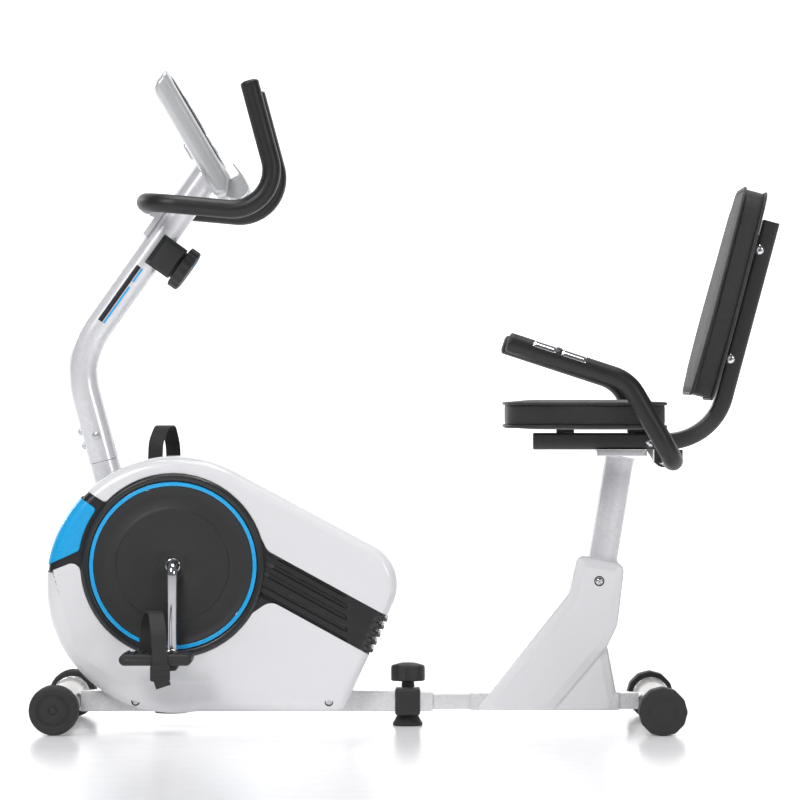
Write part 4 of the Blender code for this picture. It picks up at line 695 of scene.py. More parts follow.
@dataclass
class Housing(Assembly):
    """The drive housing: black shells, white skins, blue accent, louvred band and crank rings."""

    centre: tuple[float, float] = (-0.394, 0.240)
    radius: float = 0.2155
    slope: float = math.radians(28.1)
    tail_x: float = 0.002
    tail_radius: float = 0.073
    heel: tuple[float, float] = (-0.112, 0.0287)
    heel_radius: float = 0.020
    half: float = 0.0845
    edge: float = 0.021
    skin: float = 0.0025
    crank: tuple[float, float] = (-0.396, 0.273)
    ring: float = 0.153
    ring_high: float = 0.0885
    blue_outer: float = 0.1404
    blue_inner: float = 0.133
    flat: float = 0.0936
    face: float = 0.0895
    band_turn: float = math.radians(28.7)
    band_low: tuple[float, float] = (-0.233, 0.214)
    band_high: tuple[float, float] = (-0.238, 0.298)
    groove_pitch: float = 0.0168
    groove_end: float = -0.104

    def tail(self) -> np.ndarray:
        """The corner where the slope, a tangent of the circle, meets the rear edge."""
        run = self.tail_x - self.centre[0] - self.radius * math.sin(self.slope)
        rise = self.radius * math.cos(self.slope) - run * math.tan(self.slope)
        return np.array([self.tail_x, self.centre[1] + rise])

    def outline(self, inset: float = 0.0) -> np.ndarray:
        """The side outline, anticlockwise: a circle, a tangent slope, a tail and a heel."""
        start = math.pi / 2 - self.slope
        end = TURN - math.asin((self.centre[1] - self.heel[1]) / self.radius)
        angle = np.linspace(start, end, 150)
        spoke = np.stack([np.cos(angle), np.sin(angle)], axis=1)
        arc = np.asarray(self.centre) + self.radius * spoke
        corners = [
            (arc[-1], 0.0), (self.heel, self.heel_radius), (self.tail(), self.tail_radius), (arc[0], 0.0)
        ]
        rest = rounded(corners, 0.06)
        whole = spaced(np.vstack([arc, rest[1:-1]]), 420, closed=True)
        return inward(whole, inset) if inset else whole

    def on_ring(self, degrees: float, clear: float = 0.0015) -> np.ndarray:
        """A point just outside the raised ring."""
        angle = math.radians(degrees)
        return np.asarray(self.crank) + (self.ring + clear) * np.array([math.cos(angle), math.sin(angle)])

    def height(self, points: np.ndarray, inset: float = 0.0) -> np.ndarray:
        """The shell's distance from the middle plane: full inside, and a quarter round at the rim.

        The quarter's height is the root of one less the square of the missing share of the edge.
        """
        far, _ = nearest(points, self.outline(), closed=True)
        edge = self.edge - inset
        share = np.clip(1 - (far - inset) / edge, 0, 1)
        return self.half - inset - edge * (1 - np.sqrt(np.maximum(1 - share * share, 0)))

    def skirt(self, points: np.ndarray) -> np.ndarray:
        """How far the lower skin leans in below its crease."""
        crease = rounded(
            [
                ((-0.583, 0.215), 0),
                ((-0.557, 0.128), 0.10),
                ((-0.492, 0.0814), 0.07),
                ((-0.240, 0.0814), 0.035),
                ((-0.196, 0.044), 0),
                ((-0.186, 0.02), 0),
            ]
        )
        far, side = nearest(points, crease)
        below = np.where(side < 0, far, 0.0)
        return 0.0012 * smooth_step(below, 0.0, 0.010) + 0.15 * below

    def panel(
        self,
        inner: np.ndarray,
        columns: int,
        side: float,
        ahead: bool = True,
        lean: bool = False,
        both: bool = False,
    ) -> Skin:
        """A skin ruled from its inner boundary to the housing's outline, and on over the rim.

        A point is mixed from the inner and outer boundary, its third number is the height there,
        and the last rows run down the rim to the middle plane.

        Args:
            inner: the inner boundary, whose ends lie outside the outline.
            columns: how many ruled lines to make.
            side: minus one on the rider's left.
            ahead: whether the outer boundary runs anticlockwise.
            lean: whether the skirt leans in.
            both: whether the skin wraps round to the other side.

        Returns:
            The surface.
        """
        outline = self.outline()
        dense = spaced(inner, 900)
        far, inside = nearest(dense, outline, closed=True)
        dense = dense[(far > 0.0012) & (inside > 0)]
        first, last = (int(np.argmin(np.sum((outline - dense[k]) ** 2, axis=1))) for k in (0, -1))
        count = len(outline)
        walk = np.arange((last - first) % count + 1) if ahead else -np.arange((first - last) % count + 1)
        start = spaced(dense, columns)
        end = spaced(outline[(first + walk) % count], columns)
        reach = np.linalg.norm(end - start, axis=1)[:, None]
        lip = np.minimum(0.0011, 0.3 * reach) / np.maximum(reach, 1e-6)
        share = 1 - (1 - np.linspace(0, 1, 56)) ** 1.6
        share = lip + (1 - lip) * share[:, None, None]
        flat = start + (end - start) * share
        high = self.height(flat.reshape(-1, 2)).reshape(flat.shape[:2])
        if lean:
            high = high - self.skirt(flat.reshape(-1, 2)).reshape(high.shape)
        rim = np.linspace(1, 0, 9)[1:, None] * high[-1] + 0.0001
        if both:
            rim = rim[:-1]
        rows = [np.dstack([start[None], (high[:1] - drop)[..., None]]) for drop in (self.skin, 0.0010)]
        rows += [np.dstack([flat, high[..., None]])]
        rows += [np.dstack([np.broadcast_to(end, (len(rim), columns, 2)), rim[..., None]])]
        grid = np.concatenate(rows)[..., [0, 2, 1]]
        if both:
            grid = np.concatenate([grid * [1, -1, 1], grid[::-1]])
            made = sheet(grid, around=False, caps=False)
        else:
            made = sheet(grid * [1, side, 1], around=False, caps=False)
        return self.facing_away(made)

    def facing_away(self, made: Skin) -> Skin:
        """The open skin with its faces pointing away from the middle of the housing."""
        a, b, c = (made.points[made.quads[:, k]] for k in (0, 1, 2))
        normal = np.cross(b - a, c - b)
        out = a - [self.centre[0], 0.0, self.centre[1]]
        return made if float(np.sum(normal * out)) > 0 else made.turned_round()

    def upper_edge(self) -> np.ndarray:
        """The inner boundary of the upper skin: arm, ring and band."""
        corners = [((-0.640, 0.459), 0.0), (self.on_ring(137), 0.007)]
        corners += [(self.on_ring(angle), 0) for angle in np.linspace(131, 18, 60)]
        corners += [(self.band_high, 0.022), ((0.120, 0.102), 0)]
        return rounded(corners)

    def lower_edge(self) -> np.ndarray:
        """The inner boundary of the lower skin: arm, ring and band."""
        corners = [((-0.680, 0.233), 0.0), (self.on_ring(176), 0.016)]
        corners += [(self.on_ring(angle), 0) for angle in np.linspace(184, 329, 70)]
        corners += [(self.band_low, 0.024), ((0.120, 0.021), 0)]
        return rounded(corners)

    def accent_edge(self) -> np.ndarray:
        """The inner boundary of the blue accent, between the two black arms."""
        corners = [((-0.640, 0.448), 0), (self.on_ring(143.5, 0.006), 0.007)]
        corners += [(self.on_ring(angle, 0.006), 0) for angle in np.linspace(147, 168, 12)]
        corners += [(self.on_ring(171, 0.006), 0.007), ((-0.640, 0.2585), 0)]
        return rounded(corners)

    def core(self, side: float) -> Skin:
        """The black shell: rays from the crank out to the rim, sunk under the band."""
        outline = self.outline(self.skin)
        hub = np.asarray(self.crank)
        ray = outline - hub
        reach = np.linalg.norm(ray, axis=1)
        start = hub + ray / reach[:, None] * (self.blue_inner + 0.004)
        share = (1 - (1 - np.linspace(0, 1, 40)) ** 1.7)[:, None, None]
        flat = start + (outline - start) * share
        high = self.height(flat.reshape(-1, 2), self.skin) - self.skirt(flat.reshape(-1, 2)) * (
            flat.reshape(-1, 2)[:, 1] < 0.262
        )
        high = high.reshape(flat.shape[:2])
        along, across = self.in_band(flat)
        width = self.band_width()
        sunk = smooth_step(across, 0.001, 0.006) * smooth_step(width - across, 0.001, 0.006)
        sunk = sunk * smooth_step(along, -0.03, -0.01)
        high = high - 0.009 * sunk
        middle = np.linspace(1, 0, 6)[1:, None] * high[-1]
        pull = 0.008 * sunk[-1][:, None] * (hub - outline) / np.linalg.norm(hub - outline, axis=1)[:, None]
        wall = np.dstack([np.broadcast_to(outline + pull, (5, len(outline), 2)), middle[..., None]])
        grid = np.concatenate([np.dstack([flat, high[..., None]]), wall])[..., [0, 2, 1]]
        return self.facing_away(sheet(grid * [1, side, 1], caps=False))

    def in_band(self, flat: np.ndarray) -> tuple[np.ndarray, np.ndarray]:
        """How far a point is along the louvred band, and how far above its lower edge."""
        gap = flat - np.asarray(self.band_low)
        cosine, sine = math.cos(self.band_turn), math.sin(self.band_turn)
        return gap[..., 0] * cosine - gap[..., 1] * sine, gap[..., 0] * sine + gap[..., 1] * cosine

    def band_width(self) -> float:
        """The band's width, square to its edges."""
        return float(self.in_band(np.asarray(self.band_high))[1])

    def louvres(self, side: float) -> Skin:
        """The band: long grooves on the flank, then teeth across the rear edge.

        Rows run from the ring to the rear edge and on to the middle plane. The grooves lower the
        flank, and the teeth push the rim out and in by a softened square wave.
        """
        width = self.band_width()
        across = np.linspace(-0.002, width + 0.002, 150)
        cosine, sine = math.cos(self.band_turn), math.sin(self.band_turn)
        ahead, up = np.array([cosine, -sine]), np.array([sine, cosine])
        base = np.asarray(self.band_low) + across[:, None] * up
        to_hub = np.asarray(self.crank) - base
        middle = to_hub @ ahead
        off = np.linalg.norm(to_hub - middle[:, None] * ahead, axis=1)
        start = middle + np.sqrt(np.maximum((self.ring - 0.004) ** 2 - off**2, 0.0))
        heel, tail = np.asarray(self.heel), self.tail()
        rear = tail - heel
        normal = unit(np.array([rear[1], -rear[0]]))
        end = ((heel - base) @ normal) / float(ahead @ normal)
        share = (1 - (1 - np.linspace(0, 1, 120)) ** 1.5)[:, None]
        along = start + (end - start) * share
        flat = base[None] + along[..., None] * ahead
        high = self.height(flat.reshape(-1, 2), 0.0012).reshape(along.shape)
        phase = (across - width / 2) / self.groove_pitch
        wave = np.cos(TURN * phase)
        groove = smooth_step(wave, 0.02, 0.55) * (np.abs(across - width / 2) < 2.25 * self.groove_pitch)
        fade = 1 - smooth_step(flat[..., 0], self.groove_end - 0.005, self.groove_end + 0.002)
        far = np.clip((end - along), 0, None)
        high = high - 0.0042 * groove * fade
        rib = smooth_step(np.cos(TURN * (across - width / 2) / 0.0142), -0.45, 0.45) - 0.45
        reach = (1 - smooth_step(far, 0.0, 0.034)) * 0.0062 * rib
        flat = flat + reach[..., None] * normal
        rim = np.linspace(1, 0, 10)[1:, None] * high[-1]
        wall = np.dstack([np.broadcast_to(flat[-1], (9, len(across), 2)), rim[..., None]])
        grid = np.concatenate([np.dstack([flat, high[..., None]]), wall])[..., [0, 2, 1]]
        return self.facing_away(sheet(grid * [1, side, 1], around=False, caps=False))

    def lathe(self, corners: Sequence[tuple[Point, float]], side: float, sides: int = 128) -> Skin:
        """A rounded profile turned round the crank's axis, closed on itself."""
        profile = rounded(corners, 0.25, closed=True)
        axis = np.array([0.0, side, 0.0])
        first, second = np.array([1.0, 0, 0]), np.array([0, 0, 1.0])
        angle = np.arange(sides) * TURN / sides
        spoke = np.cos(angle)[:, None] * first + np.sin(angle)[:, None] * second
        points = profile[:, 0][:, None, None] * spoke + profile[:, 1][:, None, None] * axis
        return sheet(points + [self.crank[0], 0, self.crank[1]], across=True).outward()

    def rings(self, side: str) -> None:
        """The raised ring, the blue ring and the dished disc."""
        sign = SIDES[side]
        low = self.half - 0.006
        outer = [
            ((self.ring + 0.001, low), 0),
            ((self.ring + 0.001, self.half + 0.0004), 0.001),
            ((self.ring - 0.003, self.ring_high + 0.001), 0.004),
        ]
        outer += [
            ((self.blue_outer + 0.002, self.ring_high - 0.0006), 0.004),
            ((self.blue_outer, self.ring_high - 0.004), 0.0008),
            ((self.blue_outer, low), 0),
        ]
        self.piece(f"hub_ring_{side}", [self.lathe(outer, sign)], Look.BLACK, "front_frame")
        top = self.ring_high - 0.0012
        blue = [
            ((self.blue_outer - 0.0003, low), 0),
            ((self.blue_outer - 0.0003, top), 0.0012),
            ((self.blue_inner + 0.0003, top - 0.0004), 0.0012),
            ((self.blue_inner + 0.0003, low), 0),
        ]
        self.piece(f"blue_ring_{side}", [self.lathe(blue, sign)], Look.BLUE, "front_frame")
        bowl = [
            ((self.blue_inner, low), 0),
            ((self.blue_inner, top - 0.0016), 0.0008),
            ((self.blue_inner - 0.003, top - 0.0022), 0.002),
        ]
        bowl += [((0.118, self.face - 0.0078), 0.03), ((self.flat + 0.004, self.face - 0.0040), 0.02)]
        bowl += [
            ((self.flat + 0.0008, self.face - 0.0022), 0.0004),
            ((self.flat + 0.0004, self.face - 0.0001), 0.0007),
        ]
        bowl += [
            ((0.026, self.face), 0),
            ((0.0245, self.face - 0.0007), 0.0006),
            ((0.0125, self.face - 0.0007), 0),
            ((0.0125, low), 0),
        ]
        self.piece(
            f"crank_disc_{side}", [self.lathe(bowl, sign)], Look.GREY, "front_frame", [f"hub_disc_{side}"]
        )
        collar = [
            ((0.0124, self.face - 0.004), 0),
            ((0.0124, self.face + 0.0004), 0.001),
            ((0.0108, self.face + 0.0008), 0.0006),
            ((0.0104, self.face - 0.004), 0),
        ]
        self.piece(f"hub_collar_{side}", [self.lathe(collar, sign, 64)], Look.CHROME, "front_frame")

    def screws(self, side: str) -> None:
        """Two cross-headed screws low on the lower skin, each in a shallow cup."""
        for name, x, z in (("front", -0.459, 0.045), ("rear", -0.135, 0.045)):
            at = np.array([[x, z]])
            high = float((self.height(at) - self.skirt(at))[0])
            origin = (x, SIDES[side] * (high - 0.0006), z)
            axis = (0, SIDES[side], 0)
            cup = rounded(
                [
                    ((0.0072, -0.002), 0),
                    ((0.0072, 0.0009), 0.0006),
                    ((0.0056, 0.0009), 0.0004),
                    ((0.0050, -0.0015), 0),
                ]
            )
            head = rounded(
                [
                    ((0.0049, -0.002), 0),
                    ((0.0049, 0.0004), 0.0007),
                    ((0.0022, 0.0013), 0.003),
                    ((0.0009, 0.0012), 0.0004),
                    ((0.0005, 0.0002), 0),
                ]
            )
            self.piece(f"screw_cup_{name}_{side}", [turned(cup, origin, axis, 32)], Look.GREY, "front_frame")
            self.piece(f"screw_{name}_{side}", [turned(head, origin, axis, 32)], Look.SILVER, "front_frame")

    def build(self) -> None:
        """Makes both halves and the accent that wraps round the front."""
        for side, sign in SIDES.items():
            self.piece(
                f"black_shell_{side}", [self.core(sign)], Look.BLACK, "front_frame", [f"housing_core_{side}"]
            )
            self.piece(f"louvre_band_{side}", [self.louvres(sign)], Look.BLACK, "front_frame")
            upper = self.panel(self.upper_edge(), 260, sign, ahead=False)
            self.piece(f"upper_skin_{side}", [upper], Look.WHITE, "front_frame", [f"upper_cover_{side}"])
            lower = self.panel(self.lower_edge(), 280, sign, lean=True)
            self.piece(f"lower_skin_{side}", [lower], Look.WHITE, "front_frame", [f"lower_cover_{side}"])
            self.rings(side)
            self.screws(side)
        accent = self.panel(self.accent_edge(), 120, 1.0, both=True)
        self.piece("blue_front", [accent], Look.BLUE, "front_frame", ["front_accent"])


@dataclass
class Base(Assembly):
    """The floor frame: two cross tubes, their wheels and caps, the rails, the lock and the foot."""

    front: tuple[float, float] = (-0.584, 0.041)
    rear: tuple[float, float] = (0.416, 0.039)
    tube: float = 0.030
    wheel: float = 0.041
    half: float = 0.260
    inner: float = 0.208
    rail_z: float = 0.0426
    rail_high: float = 0.034
    rail_wide: float = 0.060
    rail_end: float = 0.0386
    inner_end: float = 0.3855
    lock: float = -0.003
    foot: float = -0.0035

    def cross_tube(self, name: str, at: tuple[float, float], look: Finish, body: str, node: str) -> None:
        """A round tube across the bike, open at both ends, with a chrome band by each end."""
        span = self.inner - 0.0003
        path = np.column_stack([np.full(3, at[0]), np.linspace(-span, span, 3), np.full(3, at[1])])
        wall = pipe(path, circle(self.tube, 64), circle(self.tube - 0.0018, 64), (0, 0, 1))
        self.piece(name, [wall], look, body, [node])
        for side, sign in SIDES.items():
            profile = rounded(
                [
                    ((self.tube + 0.0001, -0.0045), 0),
                    ((self.tube + 0.0013, -0.0045), 0.001),
                    ((self.tube + 0.0013, 0.0045), 0.001),
                    ((self.tube + 0.0001, 0.0045), 0),
                ],
                0.5,
            )
            bands = [
                turned(profile, (at[0], sign * (span - 0.010 - gap), at[1]), (0, 1, 0), 64)
                for gap in (0.0, 0.022)
            ]
            self.piece(f"{name}_bands_{side}", bands, Look.CHROME, body)

    def wheels(self) -> None:
        """The transport wheels: a rounded tread, a dished outer face and a hub."""
        span = self.half - self.inner
        corners = [
            ((0.006, span - 0.003), 0),
            ((0.010, span - 0.0005), 0.002),
            ((0.021, span - 0.0012), 0.004),
            ((0.023, span - 0.0028), 0.0012),
            ((0.0255, span - 0.0028), 0.0012),
            ((0.028, span), 0.002),
        ]
        corners += [
            ((self.wheel - 0.0007, span), 0.006),
            ((self.wheel - 0.0007, 0.0012), 0.004),
            ((0.0302, 0.0008), 0.001),
            ((0.0276, 0.0008), 0),
            ((0.0276, -0.024), 0),
        ]
        for side, sign in SIDES.items():
            skin = turned(
                rounded(corners, 0.3), (self.front[0], sign * self.inner, self.front[1]), (0, sign, 0), 96
            )
            grooves = [
                turned(
                    rounded(
                        [
                            ((self.wheel - 0.0010, y), 0),
                            ((self.wheel, y), 0.0003),
                            ((self.wheel, y + 0.003), 0.0003),
                            ((self.wheel - 0.0010, y + 0.003), 0),
                        ],
                        0.5,
                    ),
                    (self.front[0], sign * self.inner, self.front[1]),
                    (0, sign, 0),
                    96,
                )
                for y in (0.012, 0.034)
            ]
            self.piece(
                f"front_wheel_tyre_{side}",
                [skin, *grooves],
                Look.RUBBER,
                f"front_wheel_{side}",
                [f"front_wheel_{side}"],
            )
            cap = rounded(
                [
                    ((0.0061, span - 0.004), 0),
                    ((0.0060, span - 0.0016), 0.0012),
                    ((0.0025, span - 0.0006), 0.003),
                    ((0.0003, span - 0.0006), 0),
                ],
                0.3,
            )
            self.piece(
                f"front_wheel_pin_{side}",
                [turned(cap, (self.front[0], sign * self.inner, self.front[1]), (0, sign, 0), 32)],
                Look.GREY,
                f"front_wheel_{side}",
            )

    def caps(self) -> None:
        """The twelve-sided levelling caps: radius follows a twelve-sided polygon, softened at its corners."""
        span = self.half - self.inner
        angle = np.arange(192) * TURN / 192
        local = (angle * 12 / TURN) % 1 - 0.5
        flat = 0.039 / np.cos(local * TURN / 12)
        flat = np.minimum(flat, 0.0399)
        outline = flat[:, None] * np.stack([np.cos(angle), np.sin(angle)], axis=1)
        for side, sign in SIDES.items():
            skin = slab(outline, 0.0005, span, 0.003)
            hub = turned(rounded([((0.0276, -0.024), 0), ((0.0276, 0.004), 0)]), (0, 0, 0), (0, 1, 0), 48)
            dish = turned(
                rounded(
                    [
                        ((0.0245, span - 0.0001), 0),
                        ((0.0245, span + 0.0006), 0.0005),
                        ((0.0225, span + 0.0006), 0.0005),
                        ((0.0218, span - 0.0001), 0),
                    ],
                    0.4,
                ),
                (0, 0, 0),
                (0, 1, 0),
                64,
            )
            placed = [
                part.on(
                    (self.rear[0], sign * self.inner, self.rear[1]), (1, 0, 0), (0, sign, 0), (0, 0, 1)
                ).outward()
                for part in (skin, hub, dish)
            ]
            self.piece(f"levelling_cap_{side}", placed, Look.RUBBER, f"rear_cap_{side}", [f"rear_cap_{side}"])

    def rail(
        self, name: str, high: float, wide: float, wall: float, start: float, end: float, body: str, node: str
    ) -> None:
        """A rectangular tube with rounded corners, open at both ends."""
        outer = rectangle((-high / 2, -wide / 2), (high / 2, wide / 2), 0.0042)
        inside = rectangle((-high / 2 + wall, -wide / 2 + wall), (high / 2 - wall, wide / 2 - wall), 0.002)
        path = np.column_stack([np.linspace(start, end, 3), np.zeros(3), np.full(3, self.rail_z)])
        self.piece(name, [pipe(path, outer, inside, (0, 1, 0))], Look.WHITE_COAT, body, [node])

    def knob(self) -> None:
        """The rail lock: radius waves eight times round, and the profile domes over the top."""
        low, high, radius = 0.0757, 0.1017, 0.029
        angle = np.arange(160) * TURN / 160
        wave = smooth_step(np.cos(8 * angle), 0.35, 1.0)
        profile = rounded(
            [
                ((0.0006, low + 0.004), 0),
                ((0.018, low + 0.003), 0.002),
                ((0.020, low), 0.001),
                ((radius, low), 0.003),
                ((radius, high), 0.005),
                ((0.012, high + 0.0048), 0.02),
                ((0.0006, high + 0.0053), 0),
            ],
            0.3,
        )
        share = np.clip((profile[:, 0] - 0.019) / 0.008, 0, 1)[:, None]
        reach = profile[:, :1] - 0.0026 * wave * share
        points = np.dstack(
            [reach * np.cos(angle), reach * np.sin(angle), np.broadcast_to(profile[:, 1:], reach.shape)]
        )
        cap = sheet(points + [self.lock, 0, 0]).outward()
        stem = turned(
            rounded(
                [
                    ((0.011, 0.0646), 0),
                    ((0.011, 0.0700), 0.001),
                    ((0.0095, low + 0.004), 0.001),
                    ((0.0095, low + 0.006), 0),
                ]
            ),
            (self.lock, 0, 0),
            (0, 0, 1),
            40,
        )
        self.piece("lock_grip", [cap, stem], Look.GREY, "lock_knob", ["lock_knob"])
        collar = turned(
            rounded([((0.0125, 0.0596), 0), ((0.0125, 0.0641), 0.0008), ((0.0112, 0.0641), 0)]),
            (self.lock, 0, 0),
            (0, 0, 1),
            40,
        )
        self.piece("lock_nut", [collar], Look.SILVER, "front_frame")

    def foot_parts(self) -> None:
        """The saddle under the rail and the rubber foot below it, each with softened rims."""
        outline = rectangle((-0.034, 0.0195), (0.034, 0.0635), 0.004)
        body = slab(outline, -0.021, 0.021, 0.003, "yz").on(
            (self.foot, 0, 0), (1, 0, 0), (0, 1, 0), (0, 0, 1)
        )
        self.piece("saddle_block", [body], Look.GREY, "front_frame", ["foot_saddle"])
        profile = rounded(
            [
                ((0.0060, 0.0205), 0),
                ((0.018, 0.0192), 0.002),
                ((0.0185, 0.0165), 0.002),
                ((0.0235, 0.0070), 0.003),
                ((0.025, 0.0058), 0.001),
                ((0.025, 0.0), 0.0016),
                ((0.0005, 0.0003), 0),
            ],
            0.3,
        )
        self.piece(
            "rubber_foot",
            [turned(profile, (self.foot, 0, 0), (0, 0, 1), 64)],
            Look.RUBBER,
            "foot_pad",
            ["foot_pad"],
        )
        plug = turned(
            rounded([((0.0272, 0.0253), 0), ((0.0272, 0.0215), 0.0012), ((0.0005, 0.0212), 0)], 0.3),
            (-0.403, 0, 0),
            (0, 0, 1),
            48,
        )
        self.piece("rail_disc", [plug], Look.GREY, "front_frame")

    def build(self) -> None:
        """Makes the floor frame from front to rear."""
        self.cross_tube("front_tube", self.front, Look.CHAMPAGNE, "front_frame", "front_stabilizer")
        self.cross_tube("rear_tube", self.rear, Look.CHAMPAGNE, "rear_base", "rear_stabilizer")
        self.wheels()
        self.caps()
        self.rail(
            "outer_rail",
            self.rail_high,
            self.rail_wide,
            0.0025,
            self.front[0] + 0.0305,
            self.rail_end,
            "front_frame",
            "base_rail",
        )
        self.rail(
            "sliding_rail",
            self.rail_high - 0.007,
            self.rail_wide - 0.007,
            0.002,
            -0.130,
            self.inner_end,
            "rear_base",
            "inner_rail",
        )
        self.knob()
        self.foot_parts()


@dataclass
class Drive(Assembly):
    """The one-piece crank, the pedals and their straps."""

    crank: tuple[float, float] = (-0.396, 0.273)
    plane: float = 0.113
    length: float = 0.152
    pedal_offset: float = -0.022

    def arms(self) -> None:
        """The crank: one bent bar from the left boss, through the axle, to the right boss.

        The bar's radius eases from the axle to a flatter arm, and runs down on the left and up
        on the right.
        """
        x, z = self.crank
        run = self.plane - 0.004
        corners = [
            ((x, -run, z - self.length), 0),
            ((x, -run, z), 0.014),
            ((x, run, z), 0.014),
            ((x, run, z + self.length), 0),
        ]
        path = spaced(rounded(corners, 0.1), 240)
        along = np.abs(path[:, 2] - z) / self.length
        section = circle(0.0092, 40)
        bar = swept(path, section, (1, 0.0, 0.0), 1.0 - 0.16 * smooth_step(along, 0.05, 0.9))
        bosses = []
        for sign in SIDES.values():
            profile = rounded(
                [
                    ((0.0006, -0.0085), 0),
                    ((0.0135, -0.0085), 0.002),
                    ((0.0145, 0), 0.02),
                    ((0.0135, 0.0085), 0.002),
                    ((0.0006, 0.0085), 0),
                ],
                0.3,
            )
            bosses.append(turned(profile, (x, sign * run, z + sign * self.length), (0, 1, 0), 48))
        self.piece("chrome_crank", [bar, *bosses], Look.CHROME, "crankset", ["crank"])

    def pedal(self, side: str) -> None:
        """One pedal: a long rounded platform with a tread of bars, a keel, a sleeve and a pin."""
        sign = SIDES[side]
        x = self.crank[0] + self.pedal_offset
        z = self.crank[1] + sign * self.length
        body = f"pedal_{side}"
        low, high = 0.135, 0.235
        start, end = sorted((sign * low, sign * high))
        outline = rectangle((x - 0.060, z - 0.0075), (x + 0.060, z + 0.0115), 0.0095, 0.15)
        frame = [slab(outline, start, end, 0.005)]
        ribs = []
        for number in range(9):
            centre = x - 0.048 + 0.012 * number
            rib = rectangle((centre - 0.0022, start + 0.008), (centre + 0.0022, end - 0.008), 0.002)
            ribs.append(slab(rib, z + 0.0105, z + 0.0133, 0.0008, "xy"))
        keel = rectangle((self.crank[0] - 0.030, z - 0.0165), (self.crank[0] + 0.014, z - 0.002), 0.006, 0.2)
        frame.append(slab(keel, start + 0.010, end - 0.010, 0.003))
        sleeve = turned(
            rounded(
                [((0.0075, 0), 0), ((0.0105, 0.0), 0.001), ((0.0105, 0.020), 0.001), ((0.0075, 0.020), 0)],
                0.3,
            ),
            (self.crank[0], sign * 0.124, z),
            (0, sign, 0),
            40,
        )
        self.piece(f"platform_{side}", [*frame, *ribs, sleeve], Look.GREY, body, [f"pedal_{side}"])
        pin = turned(
            rounded(
                [
                    ((0.0006, 0.0975), 0),
                    ((0.0058, 0.0975), 0.001),
                    ((0.0058, 0.134), 0.001),
                    ((0.0006, 0.134), 0),
                ],
                0.3,
            ),
            (self.crank[0], 0, z),
            (0, sign, 0),
            32,
        )
        self.piece(f"pedal_pin_{side}", [pin], Look.SILVER, body)

    def strap(self, side: str) -> None:
        """The strap: a flat band that loops over the foot, down past the pedal to a holed tail.

        The band's section is a thin rounded rectangle carried along a line in the plane across
        the pedal, leaning along the bike as it goes over.
        """
        sign = SIDES[side]
        z = self.crank[1] + sign * self.length
        x = self.crank[0] - 0.028
        inner, outer = sign * 0.1355, sign * 0.2375
        corners = [
            ((x - 0.014, inner, z - 0.004), 0),
            ((x - 0.012, inner, z + 0.052), 0.030),
            ((x - 0.003, sign * 0.160, z + 0.0795), 0.030),
            ((x + 0.006, sign * 0.212, z + 0.0795), 0.028),
        ]
        corners += [
            ((x + 0.012, outer, z + 0.048), 0.030),
            ((x + 0.016, outer, z - 0.030), 0.02),
            ((x + 0.020, sign * 0.236, z - 0.042), 0),
        ]
        path = spaced(rounded(corners, 0.08), 110)
        ahead = unit(np.gradient(path, axis=0))
        along = np.broadcast_to(np.array([1.0, 0, 0]), ahead.shape)
        along = unit(along - np.sum(along * ahead, axis=1, keepdims=True) * ahead)
        out = np.cross(ahead, along)
        section = rectangle((-0.0127, -0.0013), (0.0127, 0.0013), 0.0011, 0.4)
        section = spaced(section, 60, closed=True)
        points = path[:, None] + section[None, :, :1] * along[:, None] + section[None, :, 1:] * out[:, None]
        band = sheet(points).outward()
        tail = path[-18]
        plate = rectangle((tail[0] - 0.0165, z - 0.033), (tail[0] + 0.0165, z - 0.006), 0.004)
        start, end = sorted((outer - sign * 0.001, outer + sign * 0.0035))
        buckle = slab(plate, start, end, 0.0015)
        loops = [
            slab(
                rectangle((tail[0] - 0.0150, z + h), (tail[0] + 0.0150, z + h + 0.004), 0.0019),
                end - 0.0012 if sign > 0 else start - 0.0012,
                (end if sign > 0 else start) + 0.0012,
                0.0008,
            )
            for h in (-0.030, -0.014)
        ]
        self.piece(
            f"strap_band_{side}", [band, buckle, *loops], Look.RUBBER, f"pedal_{side}", [f"strap_{side}"]
        )

    def build(self) -> None:
        """Makes the crank, both pedals and both straps."""
        self.arms()
        for side in SIDES:
            self.pedal(side)
            self.strap(side)


